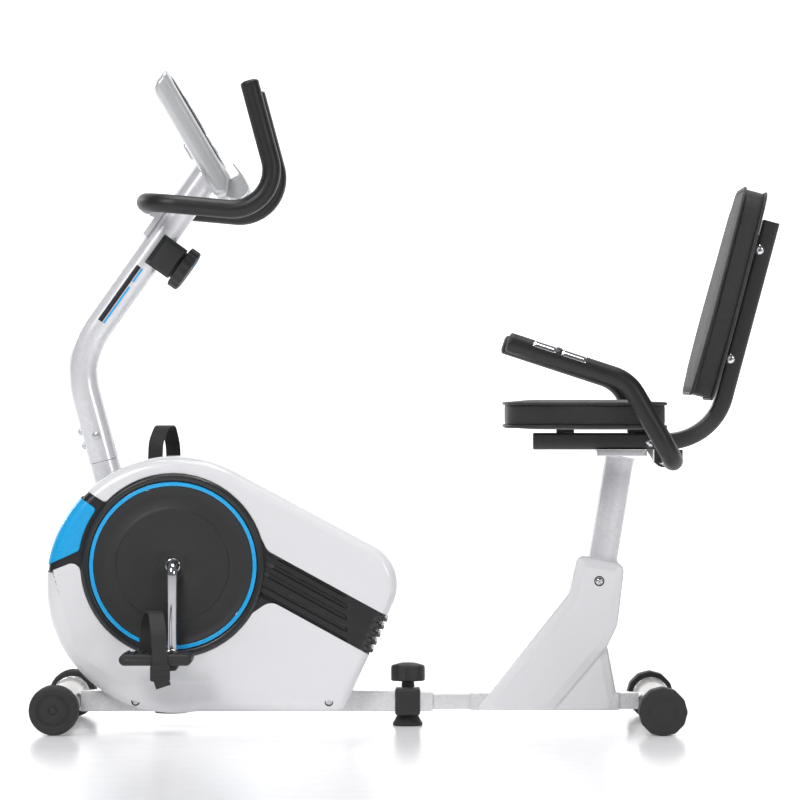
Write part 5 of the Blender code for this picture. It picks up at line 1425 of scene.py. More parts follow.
@dataclass
class Post(Assembly):
    """The handlebar post, the mast's sleeve below it, its bolts and the plain stripes on its side."""

    bend: tuple[float, float] = (-0.5634, 0.6211)
    bend_radius: float = 0.135
    radius: float = 0.025
    lean: float = math.radians(15.1)
    rake: float = math.radians(35.5)
    low: float = 0.180
    high: float = 0.391

    @property
    def up(self) -> np.ndarray:
        """The upper run's direction."""
        return np.array([math.sin(self.rake), 0.0, math.cos(self.rake)])

    @property
    def back(self) -> np.ndarray:
        """Square to the upper run, towards the rider."""
        return np.array([math.cos(self.rake), 0.0, -math.sin(self.rake)])

    def below(self, along: float) -> np.ndarray:
        """A point of the lower run, this far below the bend."""
        bend = np.array([self.bend[0], 0.0, self.bend[1]])
        return bend + along * np.array([math.sin(self.lean), 0.0, -math.cos(self.lean)])

    def above(self, along: float, back: float = 0.0) -> np.ndarray:
        """A point of the upper run, this far above the bend and this far towards the rider."""
        return np.array([self.bend[0], 0.0, self.bend[1]]) + along * self.up + back * self.back

    def bolt(self, name: str, at: np.ndarray, axis: Point, radius: float, body: str) -> None:
        """A domed bolt on a washer."""
        profile = [
            ((radius, 0.0), 0),
            ((radius, 0.0014), 0.0005),
            ((radius * 0.80, 0.0014), 0.0003),
            ((radius * 0.78, 0.003), 0.001),
        ]
        profile += [
            ((radius * 0.45, 0.0056), 0.003),
            ((radius * 0.32, 0.0056), 0.0003),
            ((radius * 0.28, 0.0032), 0.0003),
            ((0.0003, 0.0032), 0),
        ]
        self.piece(name, [turned(rounded(profile, 0.3), at, axis, 40)], Look.SILVER, body)

    def stripes(self) -> None:
        """Three plain stripes, each a thin patch bent to the tube's side, on both sides."""
        for side, sign in SIDES.items():
            for name, start, end, turn, wide, look in (
                ("long", 0.075, 0.188, 0.10, 0.17, Look.BLACK),
                ("short", 0.075, 0.150, -0.20, 0.07, Look.BLUE),
                ("thin", 0.160, 0.188, -0.20, 0.07, Look.BLUE),
            ):
                along = np.linspace(start, end, 24)[:, None]
                angle = np.linspace(turn - wide, turn + wide, 12)[None]
                reach = self.radius + 0.00025
                points = self.above(0.0) + along[..., None] * self.up + reach * (
                    np.sin(angle)[..., None] * -self.back + np.cos(angle)[..., None] * np.array(
                        [0.0, sign, 0.0]
                    )
                )
                back = points - 0.0003 * (np.cos(angle)[..., None] * np.array([0.0, sign, 0.0]))
                both = np.concatenate([points, back[:, ::-1]], axis=1)
                self.piece(f"post_stripe_{name}_{side}", [sheet(both).outward()], look, "front_frame")

    def build(self) -> None:
        """Makes the tube, the sleeve, the bolts and the stripes."""
        line = [(self.below(self.low), 0), (self.above(0.0), self.bend_radius), (self.above(self.high), 0)]
        path = spaced(rounded(line, 0.05), 120)
        tube = pipe(path, circle(self.radius, 72), circle(self.radius - 0.0018, 72), (0, 1, 0))
        self.piece("bent_post", [tube], Look.PEARL, "front_frame", ["handlebar_post"])
        down = unit(self.below(1.0) - self.below(0.0))
        sleeve = rounded(
            [
                ((0.0225, self.low + 0.0006), 0),
                ((0.0247, self.low + 0.0006), 0.0012),
                ((0.0247, 0.330), 0),
                ((0.0225, 0.330), 0),
            ],
            0.3,
        )
        self.piece("mast_sleeve", [turned(sleeve, self.below(0.0), down, 72)], Look.PEARL, "front_frame")
        fore = np.cross(down, [0.0, 1.0, 0.0])
        fore = fore if fore[0] < 0 else -fore
        for number, along in enumerate((0.123, 0.147)):
            self.bolt(
                f"post_bolt_front_{number}",
                self.below(along) + fore * (self.radius - 0.0008),
                fore,
                0.0072,
                "front_frame",
            )
        for side, sign in SIDES.items():
            self.bolt(
                f"post_bolt_{side}",
                self.below(0.136) + np.array([0, sign * (self.radius - 0.0008), 0]),
                (0, sign, 0),
                0.0072,
                "front_frame",
            )
        self.stripes()


@dataclass
class Console(Assembly):
    """The display on top of the post: a soft-edged case, a dark bezel, a film, buttons and a ledge."""

    origin: tuple[float, float, float] = (-0.4068, 0.0, 1.1042)
    down: tuple[float, float, float] = (0.5045, 0.0, -0.8634)
    out: tuple[float, float, float] = (0.8634, 0.0, 0.5045)
    half: float = 0.110
    soft: float = 0.024

    def local(self, skin: Skin) -> Skin:
        """A surface from the console's own axes to the bike's."""
        return skin.on(self.origin, self.down, (0, 1, 0), self.out).outward()

    def case(self) -> Skin:
        """The case's side outline, drawn in towards its spine by a soft oval at both ends."""
        corners = [((0.0, 0.0), 0.004), ((0.2098, 0.0), 0.008), ((0.2363, -0.01875), 0.012)]
        corners += [((0.2263, -0.0375), 0.010), ((0.0125, -0.0375), 0.021)]
        outline = spaced(rounded(corners[::-1], 0.1, closed=True), 180, closed=True)
        spine = np.column_stack([np.clip(outline[:, 0], 0.019, 0.216), np.full(len(outline), -0.0187)])
        turn = np.linspace(0, 0.99 * math.pi / 2, 16)
        size = np.concatenate([np.cos(turn[::-1]), np.cos(turn)])[:, None, None] ** 0.62
        reach = self.half - self.soft * (1 - np.sin(turn))
        place = np.concatenate([-reach[::-1], reach])[:, None]
        flat = spine + (outline - spine) * size
        points = np.dstack(
            [flat[..., :1], np.broadcast_to(place[..., None], (*flat.shape[:2], 1)), flat[..., 1:]]
        )
        return self.local(sheet(points))

    def ledge(self) -> Skin:
        """The lip under the face that holds a tablet: a shelf, a curved front and a foot."""
        corners = [((0.1935, 0.0148), 0.0008), ((0.2125, 0.0162), 0.0012), ((0.2125, -0.0020), 0.001)]
        corners += [((0.2350, -0.0220), 0.004), ((0.2506, -0.0060), 0.008), ((0.2460, 0.0180), 0.012)]
        corners += [((0.2200, 0.0205), 0.040), ((0.1932, 0.0172), 0.0008)]
        outline = rounded(corners, 0.12, closed=True)
        return self.local(slab(outline, -0.080, 0.080, 0.0009, "xz"))

    def buttons(self) -> None:
        """Three oval buttons: a low dome over a rounded outline, each in a shallow well."""
        for side, y in (("left", -0.045), ("middle", 0.0), ("right", 0.045)):
            outline = rectangle((0.152 - 0.0072, y - 0.0108), (0.152 + 0.0072, y + 0.0108), 0.0070, 0.15)
            cap = slab(outline, -0.003, 0.0021, 0.0008, "xy", crown=0.0006)
            look = Look.BLUE if side == "middle" else Look.SILVER_SHELL
            self.piece(f"button_cap_{side}", [self.local(cap)], look, f"button_{side}", [f"button_{side}"])
            rim = np.stack([outline, inward(outline, -0.0016)])
            heights = np.array([0.0004, 0.0008])[:, None]
            ring = np.concatenate(
                [
                    np.dstack([rim[::-1], np.broadcast_to([[0.0009], [0.0009]], rim.shape[:2])]),
                    np.dstack([rim, np.broadcast_to(heights - 0.0012, rim.shape[:2])]),
                ]
            )
            self.piece(
                f"button_well_{side}", [self.local(sheet(ring, across=True))], Look.BLACK, "front_frame"
            )

    def build(self) -> None:
        """Makes the case, the bezel, the display and its windows, the buttons and the lip."""
        self.piece("console_shell", [self.case()], Look.SILVER_SHELL, "front_frame", ["console_case"])
        bezel = slab(rectangle((0.014, -0.094), (0.186, 0.094), 0.016, 0.15), -0.002, 0.0009, 0.0008, "xy")
        self.piece("console_bezel", [self.local(bezel)], Look.BLACK, "front_frame")
        glass = slab(rectangle((0.0425, -0.070), (0.1275, 0.070), 0.004), -0.001, 0.0018, 0.0007, "xy")
        self.piece("display_window", [self.local(glass)], Look.GLASS, "front_frame", ["console_screen"])
        film = slab(rectangle((0.050, -0.062), (0.120, 0.062), 0.002), 0.0016, 0.0020, 0.0001, "xy")
        self.piece("display_film", [self.local(film)], Look.LCD, "front_frame")
        bars = [
            slab(
                rectangle(
                    (0.104 - 0.008 * (1 + number % 4), -0.052 + 0.0085 * number),
                    (0.110, -0.046 + 0.0085 * number),
                    0.0006,
                ),
                0.0018,
                0.0022,
                0.0001,
                "xy",
            )
            for number in range(13)
        ]
        bars += [
            slab(rectangle((0.055, y), (0.0625, y + 0.034), 0.0006), 0.0018, 0.0022, 0.0001, "xy")
            for y in (-0.056, -0.017, 0.022)
        ]
        self.piece("display_bars", [self.local(bar) for bar in bars], Look.BLACK, "front_frame")
        hump = slab(rectangle((0.119, -0.030), (0.149, 0.030), 0.008, 0.2), -0.0425, -0.030, 0.003, "xy")
        self.piece("tablet_lip", [self.ledge()], Look.SILVER_SHELL, "front_frame", ["tablet_ledge"])
        self.piece("console_clamp", [self.local(hump)], Look.SILVER_SHELL, "front_frame")
        self.buttons()


@dataclass
class Bars(Assembly):
    """Bent round tubes with foam over their arms: the handlebar and the armrests."""

    tube: float = 0.0125
    foam: float = 0.0155
    arm_foam: float = 0.0165

    def foam_on(self, path: np.ndarray, radius: float, side: Point) -> Skin:
        """A foam sleeve: round in section, its ends drawn in by a quarter round."""
        run = np.concatenate([[0.0], np.cumsum(np.linalg.norm(np.diff(path, axis=0), axis=1))])
        edge = 0.0042
        near = np.minimum(run, run[-1] - run)
        share = np.clip(1 - near / edge, 0, 1)
        size = 1 - edge / radius * (1 - np.sqrt(np.maximum(1 - share * share, 0)))
        return swept(path, circle(radius, 48), side, size)

    def dense_ends(self, line: np.ndarray) -> np.ndarray:
        """The line at even spacing, with close points near both ends for the rounding."""
        path = spaced(line, 220)
        run = np.concatenate([[0.0], np.cumsum(np.linalg.norm(np.diff(line, axis=0), axis=1))])
        tips = np.array([0, 0.0003, 0.0009, 0.0018, 0.003, 0.0045])
        at = np.concatenate([tips, np.linspace(0.008, run[-1] - 0.008, 200), run[-1] - tips[::-1]])
        return np.stack([np.interp(at, run, column) for column in line.T], axis=1) if len(path) else path

    def handlebar(self) -> None:
        """The handlebar: across the front, back along both sides and up to the tips."""
        tip, knee, front, half = (-0.2656, 1.0785), (-0.2064, 0.8582), (-0.439, 0.879), 0.175
        side = (1.0, 0.0, -1.0)
        for name, sign in SIDES.items():
            corners = [
                ((front[0], sign * 0.0605, front[1]), 0),
                ((front[0], sign * half, front[1]), 0.055),
                ((knee[0], sign * half, knee[1]), 0.065),
                ((tip[0], sign * half, tip[1]), 0),
            ]
            path = self.dense_ends(rounded(corners, 0.05))
            self.piece(
                f"bar_foam_{name}",
                [self.foam_on(path, self.foam, side)],
                Look.FOAM,
                "front_frame",
                [f"handlebar_grip_{name}"],
            )
            end = path[-1] - path[-2]
            plug = rounded(
                [
                    ((0.0112, -0.002), 0),
                    ((0.0112, 0.0002), 0.0004),
                    ((0.0100, 0.0010), 0.0006),
                    ((0.0003, 0.0012), 0),
                ],
                0.3,
            )
            self.piece(f"bar_plug_{name}", [turned(plug, path[-1], end, 40)], Look.GREY, "front_frame")
        across = np.column_stack([np.full(5, front[0]), np.linspace(-0.066, 0.066, 5), np.full(5, front[1])])
        self.piece(
            "bar_tube",
            [swept(across, circle(self.tube, 48), side)],
            Look.DARK_COAT,
            "front_frame",
            ["handlebar_tube"],
        )

    def armrests(self) -> None:
        """The armrests: under the seat frame, up at both sides and forward to the tips."""
        tip, knee, low, half = (0.1622, 0.6462), (0.3589, 0.5819), (0.436, 0.450), 0.225
        side = (1.0, 0.0, 1.0)
        for name, sign in SIDES.items():
            root, bend = np.array([low[0], sign * half, low[1]]), np.array([knee[0], sign * half, knee[1]])
            start = root - np.array([0.0, sign * 0.085, 0.0])
            corners = [(start, 0), (root, 0.045), (bend, 0.065), ((tip[0], sign * half, tip[1]), 0)]
            path = self.dense_ends(rounded(corners, 0.05))
            self.piece(
                f"arm_foam_{name}",
                [self.foam_on(path, self.arm_foam, side)],
                Look.FOAM,
                "rear_base",
                [f"armrest_grip_{name}"],
            )
            plug = rounded(
                [
                    ((0.0122, -0.002), 0),
                    ((0.0122, 0.0002), 0.0004),
                    ((0.0110, 0.0010), 0.0006),
                    ((0.0003, 0.0012), 0),
                ],
                0.3,
            )
            self.piece(
                f"arm_plug_{name}", [turned(plug, path[-1], path[-1] - path[-2], 40)], Look.GREY, "rear_base"
            )
            self.pulse(name, sign, tip, knee, half)
        corners = [
            ((knee[0] + 0.03, -half, knee[1] - 0.0514), 0),
            ((low[0], -half, low[1]), 0.045),
            ((low[0], half, low[1]), 0.045),
            ((knee[0] + 0.03, half, knee[1] - 0.0514), 0),
        ]
        path = spaced(rounded(corners, 0.06), 200)
        self.piece(
            "arm_tube",
            [swept(path, circle(self.tube, 48), side)],
            Look.DARK_COAT,
            "rear_base",
            ["armrest_tube"],
        )

    def pulse(self, name: str, sign: float, tip: Point, knee: Point, half: float) -> None:
        """The pulse sensor: two polished plates bent over the grip, with a black saddle between."""
        start, end = np.array([tip[0], sign * half, tip[1]]), np.array([knee[0], sign * half, knee[1]])
        along = unit(end - start)
        up = np.array([-along[2], 0.0, along[0]])
        across = np.array([0.0, 1.0, 0.0])
        for part, low, high, reach, look in (
            ("front", 0.040, 0.080, 0.00075, Look.CHROME),
            ("divider", 0.0795, 0.0895, 0.0013, Look.BLACK),
            ("rear", 0.089, 0.132, 0.00075, Look.CHROME),
        ):
            run = np.linspace(low, high, 24)
            edge = np.minimum(run - low, high - run)
            lift = reach - 0.0012 * (1 - smooth_step(edge, 0.0, 0.003))
            angle = np.linspace(-1.25, 1.25, 40)
            fade = 1 - smooth_step(np.abs(angle), 1.12, 1.25)
            radius = self.arm_foam + lift[:, None] * fade[None] - 0.0006 * (1 - fade[None])
            spoke = np.cos(angle)[:, None] * up + np.sin(angle)[:, None] * across
            top = start + run[:, None, None] * along + radius[..., None] * spoke
            under = start + run[:, None, None] * along + (self.arm_foam - 0.002) * spoke[None, ::-1]
            self.piece(
                f"pulse_{part}_{name}",
                [sheet(np.concatenate([top, under], axis=1)).outward()],
                look,
                "rear_base",
            )

    def build(self) -> None:
        """Makes the handlebar and the armrests."""
        self.handlebar()
        self.armrests()


@dataclass
class Tension(Assembly):
    """The tension control on the post: a soft-edged box, a neck and a fluted knob."""

    post: Post = field(default_factory=Post)
    along: float = 0.228

    def local(self, skin: Skin) -> Skin:
        """A surface from the control's axes, whose third runs out of the post, to the bike's."""
        return skin.on(self.post.above(self.along), self.post.up, (0, 1, 0), self.post.back).outward()

    def build(self) -> None:
        """Makes the box with its front strip, the neck and the knob that waves fourteen times."""
        outline = rectangle((-0.029, -0.033), (0.029, 0.033), 0.009, 0.15)
        box = slab(outline, 0.0095, 0.0475, 0.0022, "xy")
        neck = turned(
            rounded([((0.0250, 0.042), 0), ((0.0250, 0.0508), 0.001), ((0.006, 0.0508), 0)], 0.3),
            (0, 0, 0),
            (0, 0, 1),
            56,
        )
        self.piece(
            "tension_box", [self.local(box), self.local(neck)], Look.GREY, "front_frame", ["tension_housing"]
        )
        strip = slab(
            rectangle((-0.0292, -0.0332), (0.0292, 0.0332), 0.0092, 0.15), 0.0022, 0.0102, 0.0008, "xy"
        )
        self.piece("tension_strip", [self.local(strip)], Look.BLACK, "front_frame")
        angle = np.arange(280) * TURN / 280
        wave = 0.5 + 0.5 * np.cos(14 * angle)
        low, high, radius = 0.0516, 0.072, 0.0373
        corners = [
            ((0.0004, low), 0),
            ((radius - 0.003, low), 0),
            ((radius, low + 0.001), 0.001),
            ((radius, high - 0.002), 0.004),
            ((radius - 0.007, high), 0.003),
            ((0.020, high - 0.0012), 0.01),
            ((0.0004, high - 0.0004), 0),
        ]
        profile = rounded(corners, 0.3)
        share = np.clip((profile[:, 0] - 0.029) / 0.007, 0, 1)[:, None]
        reach = profile[:, :1] - 0.0021 * (1 - wave) * share
        points = np.dstack(
            [reach * np.cos(angle), reach * np.sin(angle), np.broadcast_to(profile[:, 1:], reach.shape)]
        )
        mark = slab(
            rectangle((0.010, -0.0012), (0.030, 0.0012), 0.0011), high - 0.0012, high + 0.0001, 0.0004, "xy"
        )
        self.piece("tension_dial", [self.local(sheet(points))], Look.GREY, "tension_knob", ["tension_knob"])
        self.piece("tension_mark", [self.local(mark)], Look.BLUE, "tension_knob")


@dataclass
class Seat(Assembly):
    """The seat: post, bent frame, two stuffed cushions with piping, and their bolts."""

    post_top: tuple[float, float] = (0.3553, 0.4553)
    post_lean: float = math.radians(9.6)
    frame_bend: tuple[float, float] = (0.5107, 0.4803)
    frame_start: float = 0.2084
    back_lean: float = math.radians(15)
    back_length: float = 0.383
    seat_low: float = 0.501
    seat_high: float = 0.550
    back_low: float = 0.0205
    back_high: float = 0.067
    swell: float = 0.006
    sewn: float = 0.006

    @property
    def back_axes(self) -> tuple[Point, Point, Point, Point]:
        """The back's origin, its way up, the bike's width, and the way to the rider."""
        sine, cosine = math.sin(self.back_lean), math.cos(self.back_lean)
        return (self.frame_bend[0], 0.0, self.frame_bend[1]), (sine, 0, cosine), (0, 1, 0), (-cosine, 0, sine)

    def seat_outline(self) -> np.ndarray:
        """The seat's plan: narrower at the front, rounded at every corner."""
        corners = [((0.157, -0.120), 0.045), ((0.275, -0.200), 0.07), ((0.4285, -0.200), 0.050)]
        corners += [((0.4285, 0.200), 0.050), ((0.275, 0.200), 0.07), ((0.157, 0.120), 0.045)]
        return spaced(rounded(corners, 0.1, closed=True), 220, closed=True)

    def back_outline(self) -> np.ndarray:
        """The back's plan, in its own axes: widest low down, narrow at the top."""
        corners = [((0.064, -0.153), 0.055), ((0.1907, -0.180), 0.16), ((0.426, -0.130), 0.055)]
        corners += [((0.426, 0.130), 0.055), ((0.1907, 0.180), 0.16), ((0.064, 0.153), 0.055)]
        return spaced(rounded(corners, 0.1, closed=True)[::-1], 220, closed=True)

    def pillow(self, outline: np.ndarray, low: float, high: float) -> Skin:
        """The start of a cushion: rings drawn in over both faces, fuller in the middle of its sides."""
        if float(
            np.sum(outline[:, 0] * np.roll(outline[:, 1], -1) - outline[:, 1] * np.roll(outline[:, 0], -1))
        ) < 0:
            outline = outline[::-1]
        middle = outline.mean(axis=0)
        rings = []
        for share, inset, height in (
            (0, 0.5, low),
            (0, 0.2, low),
            (0, 0.05, low),
            (1, 0.004, low),
            (1, 0.0, low + 0.004),
            (1, 0.0, high - 0.004),
            (1, 0.004, high),
            (0, 0.05, high),
            (0, 0.2, high),
            (0, 0.5, high),
            (0, 0.8, high),
        ):
            ring = inward(outline, inset) if share else middle + (outline - middle) * (1 - inset)
            rings.append(np.column_stack([ring, np.full(len(ring), height)]))
        first = np.column_stack([middle + (outline - middle) * 0.2, np.full(len(outline), low)])
        return sheet(np.stack([first, *rings])).outward()

    def stuffed(
        self,
        name: str,
        outline: np.ndarray,
        low: float,
        high: float,
        axes: tuple[Point, ...],
        nodes: Sequence[str],
    ) -> bpy.types.Object:
        """A stuffed cushion, blown up as cloth and then held inside its room.

        The remeshed pad is inflated by pressure. How far a point may move is capped, the sewn rims
        keep their plan, and the room's faces cap the height.
        """
        room = 0.0028
        pad = self.pillow(inward(self._left_round(outline), 0.0045), low + room, high - room)
        made = self.piece(name, [pad], Look.VINYL, "rear_base", nodes, 60)
        remesh = made.modifiers.new("even", "REMESH")
        remesh.mode, remesh.voxel_size, remesh.use_smooth_shade = "VOXEL", 0.005, True
        self.apply(made)
        rest = self.read(made)
        step = self.inflate(made) - rest
        size = np.linalg.norm(step, axis=1, keepdims=True)
        rim, _ = nearest(rest[:, :2], outline, closed=True)
        free = smooth_step(rim, self.sewn, self.sewn + 0.025)
        held = np.column_stack([free, free, np.ones(len(free))])
        moved = rest + held * step * np.minimum(1, self.swell / np.maximum(size, 1e-9))
        far, _ = nearest(moved[:, :2], outline, closed=True)
        crown = smooth_step(far, 0.0, 0.055)
        upper = moved[:, 2] > (low + high) / 2
        moved[:, 2] = np.where(
            upper,
            np.minimum(moved[:, 2], high - 0.0035 * (1 - crown)),
            np.maximum(moved[:, 2], low + 0.003 * (1 - crown)),
        )
        origin, first, second, third = axes
        placed = moved @ np.array([first, second, third], float) + np.asarray(origin, float)
        made.data.vertices.foreach_set("co", placed.astype(np.float32).ravel())
        made.data.update()
        even = made.modifiers.new("soft", "SUBSURF")
        even.levels = even.render_levels = 1
        self.apply(made)
        made.data.shade_smooth()
        return made

    def _left_round(self, outline: np.ndarray) -> np.ndarray:
        """The outline, running anticlockwise."""
        turn = outline[:, 0] * np.roll(outline[:, 1], -1) - outline[:, 1] * np.roll(outline[:, 0], -1)
        return outline if float(np.sum(turn)) > 0 else outline[::-1]

    def apply(self, made: bpy.types.Object) -> None:
        """Makes what the modifiers show the object's own mesh."""
        graph = bpy.context.evaluated_depsgraph_get()
        graph.update()
        shown = bpy.data.meshes.new_from_object(made.evaluated_get(graph))
        made.modifiers.clear()
        made.data = shown

    def read(self, made: bpy.types.Object) -> np.ndarray:
        """The mesh's points."""
        points = np.empty(len(made.data.vertices) * 3, np.float32)
        made.data.vertices.foreach_get("co", points)
        return points.reshape(-1, 3).astype(float)

    def inflate(self, made: bpy.types.Object) -> np.ndarray:
        """Runs the cloth under pressure, without gravity, and returns the points it reaches."""
        cloth = made.modifiers.new("stuffing", "CLOTH")
        cloth.settings.use_pressure = True
        cloth.settings.uniform_pressure_force = 4.0
        cloth.settings.effector_weights.gravity = 0.0
        cloth.settings.quality = 4
        cloth.point_cache.frame_start, cloth.point_cache.frame_end = 1, 20
        for frame in range(1, 21):
            bpy.context.scene.frame_set(frame)
        graph = bpy.context.evaluated_depsgraph_get()
        shown = made.evaluated_get(graph).data
        points = np.empty(len(shown.vertices) * 3, np.float32)
        shown.vertices.foreach_get("co", points)
        made.modifiers.clear()
        bpy.context.scene.frame_set(1)
        return points.reshape(-1, 3).astype(float)

    def piping(self, outline: np.ndarray, height: float, axes: tuple[Point, ...]) -> Skin:
        """A cord of vinyl sewn round a rim: a circle carried along the closed outline."""
        line = inward(self._left_round(outline), 0.0034)
        ahead = unit(np.roll(line, -1, axis=0) - np.roll(line, 1, axis=0))
        out = np.stack([ahead[:, 1], -ahead[:, 0]], axis=1)
        ring = circle(0.0028, 12)
        flat = line[:, None] + ring[None, :, :1] * out[:, None]
        points = np.dstack([flat, height + np.broadcast_to(ring[None, :, 1:], (*flat.shape[:2], 1))])
        return sheet(points, across=True).outward().on(*axes).outward()

    def cushions(self) -> None:
        """The seat cushion and the back cushion, with piping along both rims."""
        flat = ((0, 0, 0), (1, 0, 0), (0, 1, 0), (0, 0, 1))
        self.stuffed("seat_pad", self.seat_outline(), self.seat_low, self.seat_high, flat, ["seat_cushion"])
        self.stuffed(
            "back_pad", self.back_outline(), self.back_low, self.back_high, self.back_axes, ["back_cushion"]
        )
        for name, outline, low, high, axes in (
            ("seat", self.seat_outline(), self.seat_low, self.seat_high, flat),
            ("back", self.back_outline(), self.back_low, self.back_high, self.back_axes),
        ):
            rims = [self.piping(outline, height, axes) for height in (low + 0.0050, high - 0.0060)]
            cord = self.piece(f"{name}_piping", rims, Look.PIPING, "rear_base")

    def bolt(self, name: str, at: Point, axis: Point) -> None:
        """A wide domed bolt on the frame's side."""
        profile = rounded(
            [
                ((0.0082, 0.0), 0),
                ((0.0082, 0.0016), 0.0008),
                ((0.006, 0.0036), 0.004),
                ((0.0026, 0.0042), 0.001),
                ((0.0022, 0.0026), 0.0004),
                ((0.0003, 0.0026), 0),
            ],
            0.3,
        )
        self.piece(name, [turned(profile, at, axis, 40)], Look.CHROME, "rear_base")

    def frame(self) -> None:
        """The seat post and its plate, and the rectangular frame bent up behind the back."""
        top = np.array([self.post_top[0], 0.0, self.post_top[1]])
        down = np.array([-math.sin(self.post_lean), 0.0, -math.cos(self.post_lean)])
        path = np.stack([top + down * along for along in (0.0005, 0.2, 0.400)])
        post = pipe(path, circle(0.025, 64), circle(0.023, 64), (0, 1, 0))
        plate = slab(rectangle((0.314, -0.045), (0.399, 0.045), 0.008, 0.2), 0.4558, 0.4653, 0.0012, "xy")
        weld = turned(
            rounded(
                [
                    ((0.0252, 0.0), 0),
                    ((0.0285, 0.0), 0.001),
                    ((0.0270, 0.0026), 0.002),
                    ((0.0252, 0.0040), 0),
                ],
                0.4,
            ),
            top,
            down,
            64,
        )
        self.piece("seat_column", [post, weld, plate], Look.PEARL, "rear_base", ["seat_post"])
        _, up, _, _ = self.back_axes
        bend = np.array([self.frame_bend[0], 0.0, self.frame_bend[1]])
        corners = [
            ((self.frame_start, 0, self.frame_bend[1]), 0),
            (bend, 0.100),
            (bend + np.asarray(up) * self.back_length, 0),
        ]
        line = spaced(rounded(corners, 0.05), 120)
        outer = rectangle((-0.014, -0.030), (0.014, 0.030), 0.0045, 0.3)
        inner = rectangle((-0.012, -0.028), (0.012, 0.028), 0.003, 0.3)
        self.piece(
            "bent_frame", [pipe(line, outer, inner, (0, 1, 0))], Look.DARK_COAT, "rear_base", ["seat_frame"]
        )
        plug = rectangle((-0.0118, -0.0278), (0.0118, 0.0278), 0.003)
        head = slab(plug, -0.010, -0.0008, 0.001, "xy")
        out = np.array([-up[2], 0, up[0]])
        self.piece(
            "frame_plug_top", [head.on(line[-1], out, (0, 1, 0), up).outward()], Look.GREY, "rear_base"
        )
        self.piece(
            "frame_plug_front",
            [head.on(line[0], (0, 0, 1), (0, 1, 0), (-1, 0, 0)).outward()],
            Look.GREY,
            "rear_base",
        )
        fore = np.array([-math.cos(self.back_lean), 0.0, math.sin(self.back_lean)])
        for side, sign in SIDES.items():
            for name, along in (("low", 0.142), ("high", 0.332)):
                place = bend + np.asarray(up) * along + fore * 0.0085 + np.array([0.0, sign * 0.0299, 0.0])
                self.bolt(f"back_bolt_{name}_{side}", place, (0, sign, 0))
        for side, sign in SIDES.items():
            self.bolt(f"frame_bolt_{side}", (0.405, sign * 0.0301, self.frame_bend[1] - 0.001), (0, sign, 0))

    def build(self) -> None:
        """Makes the frame, then the cushions."""
        self.frame()
        self.cushions()


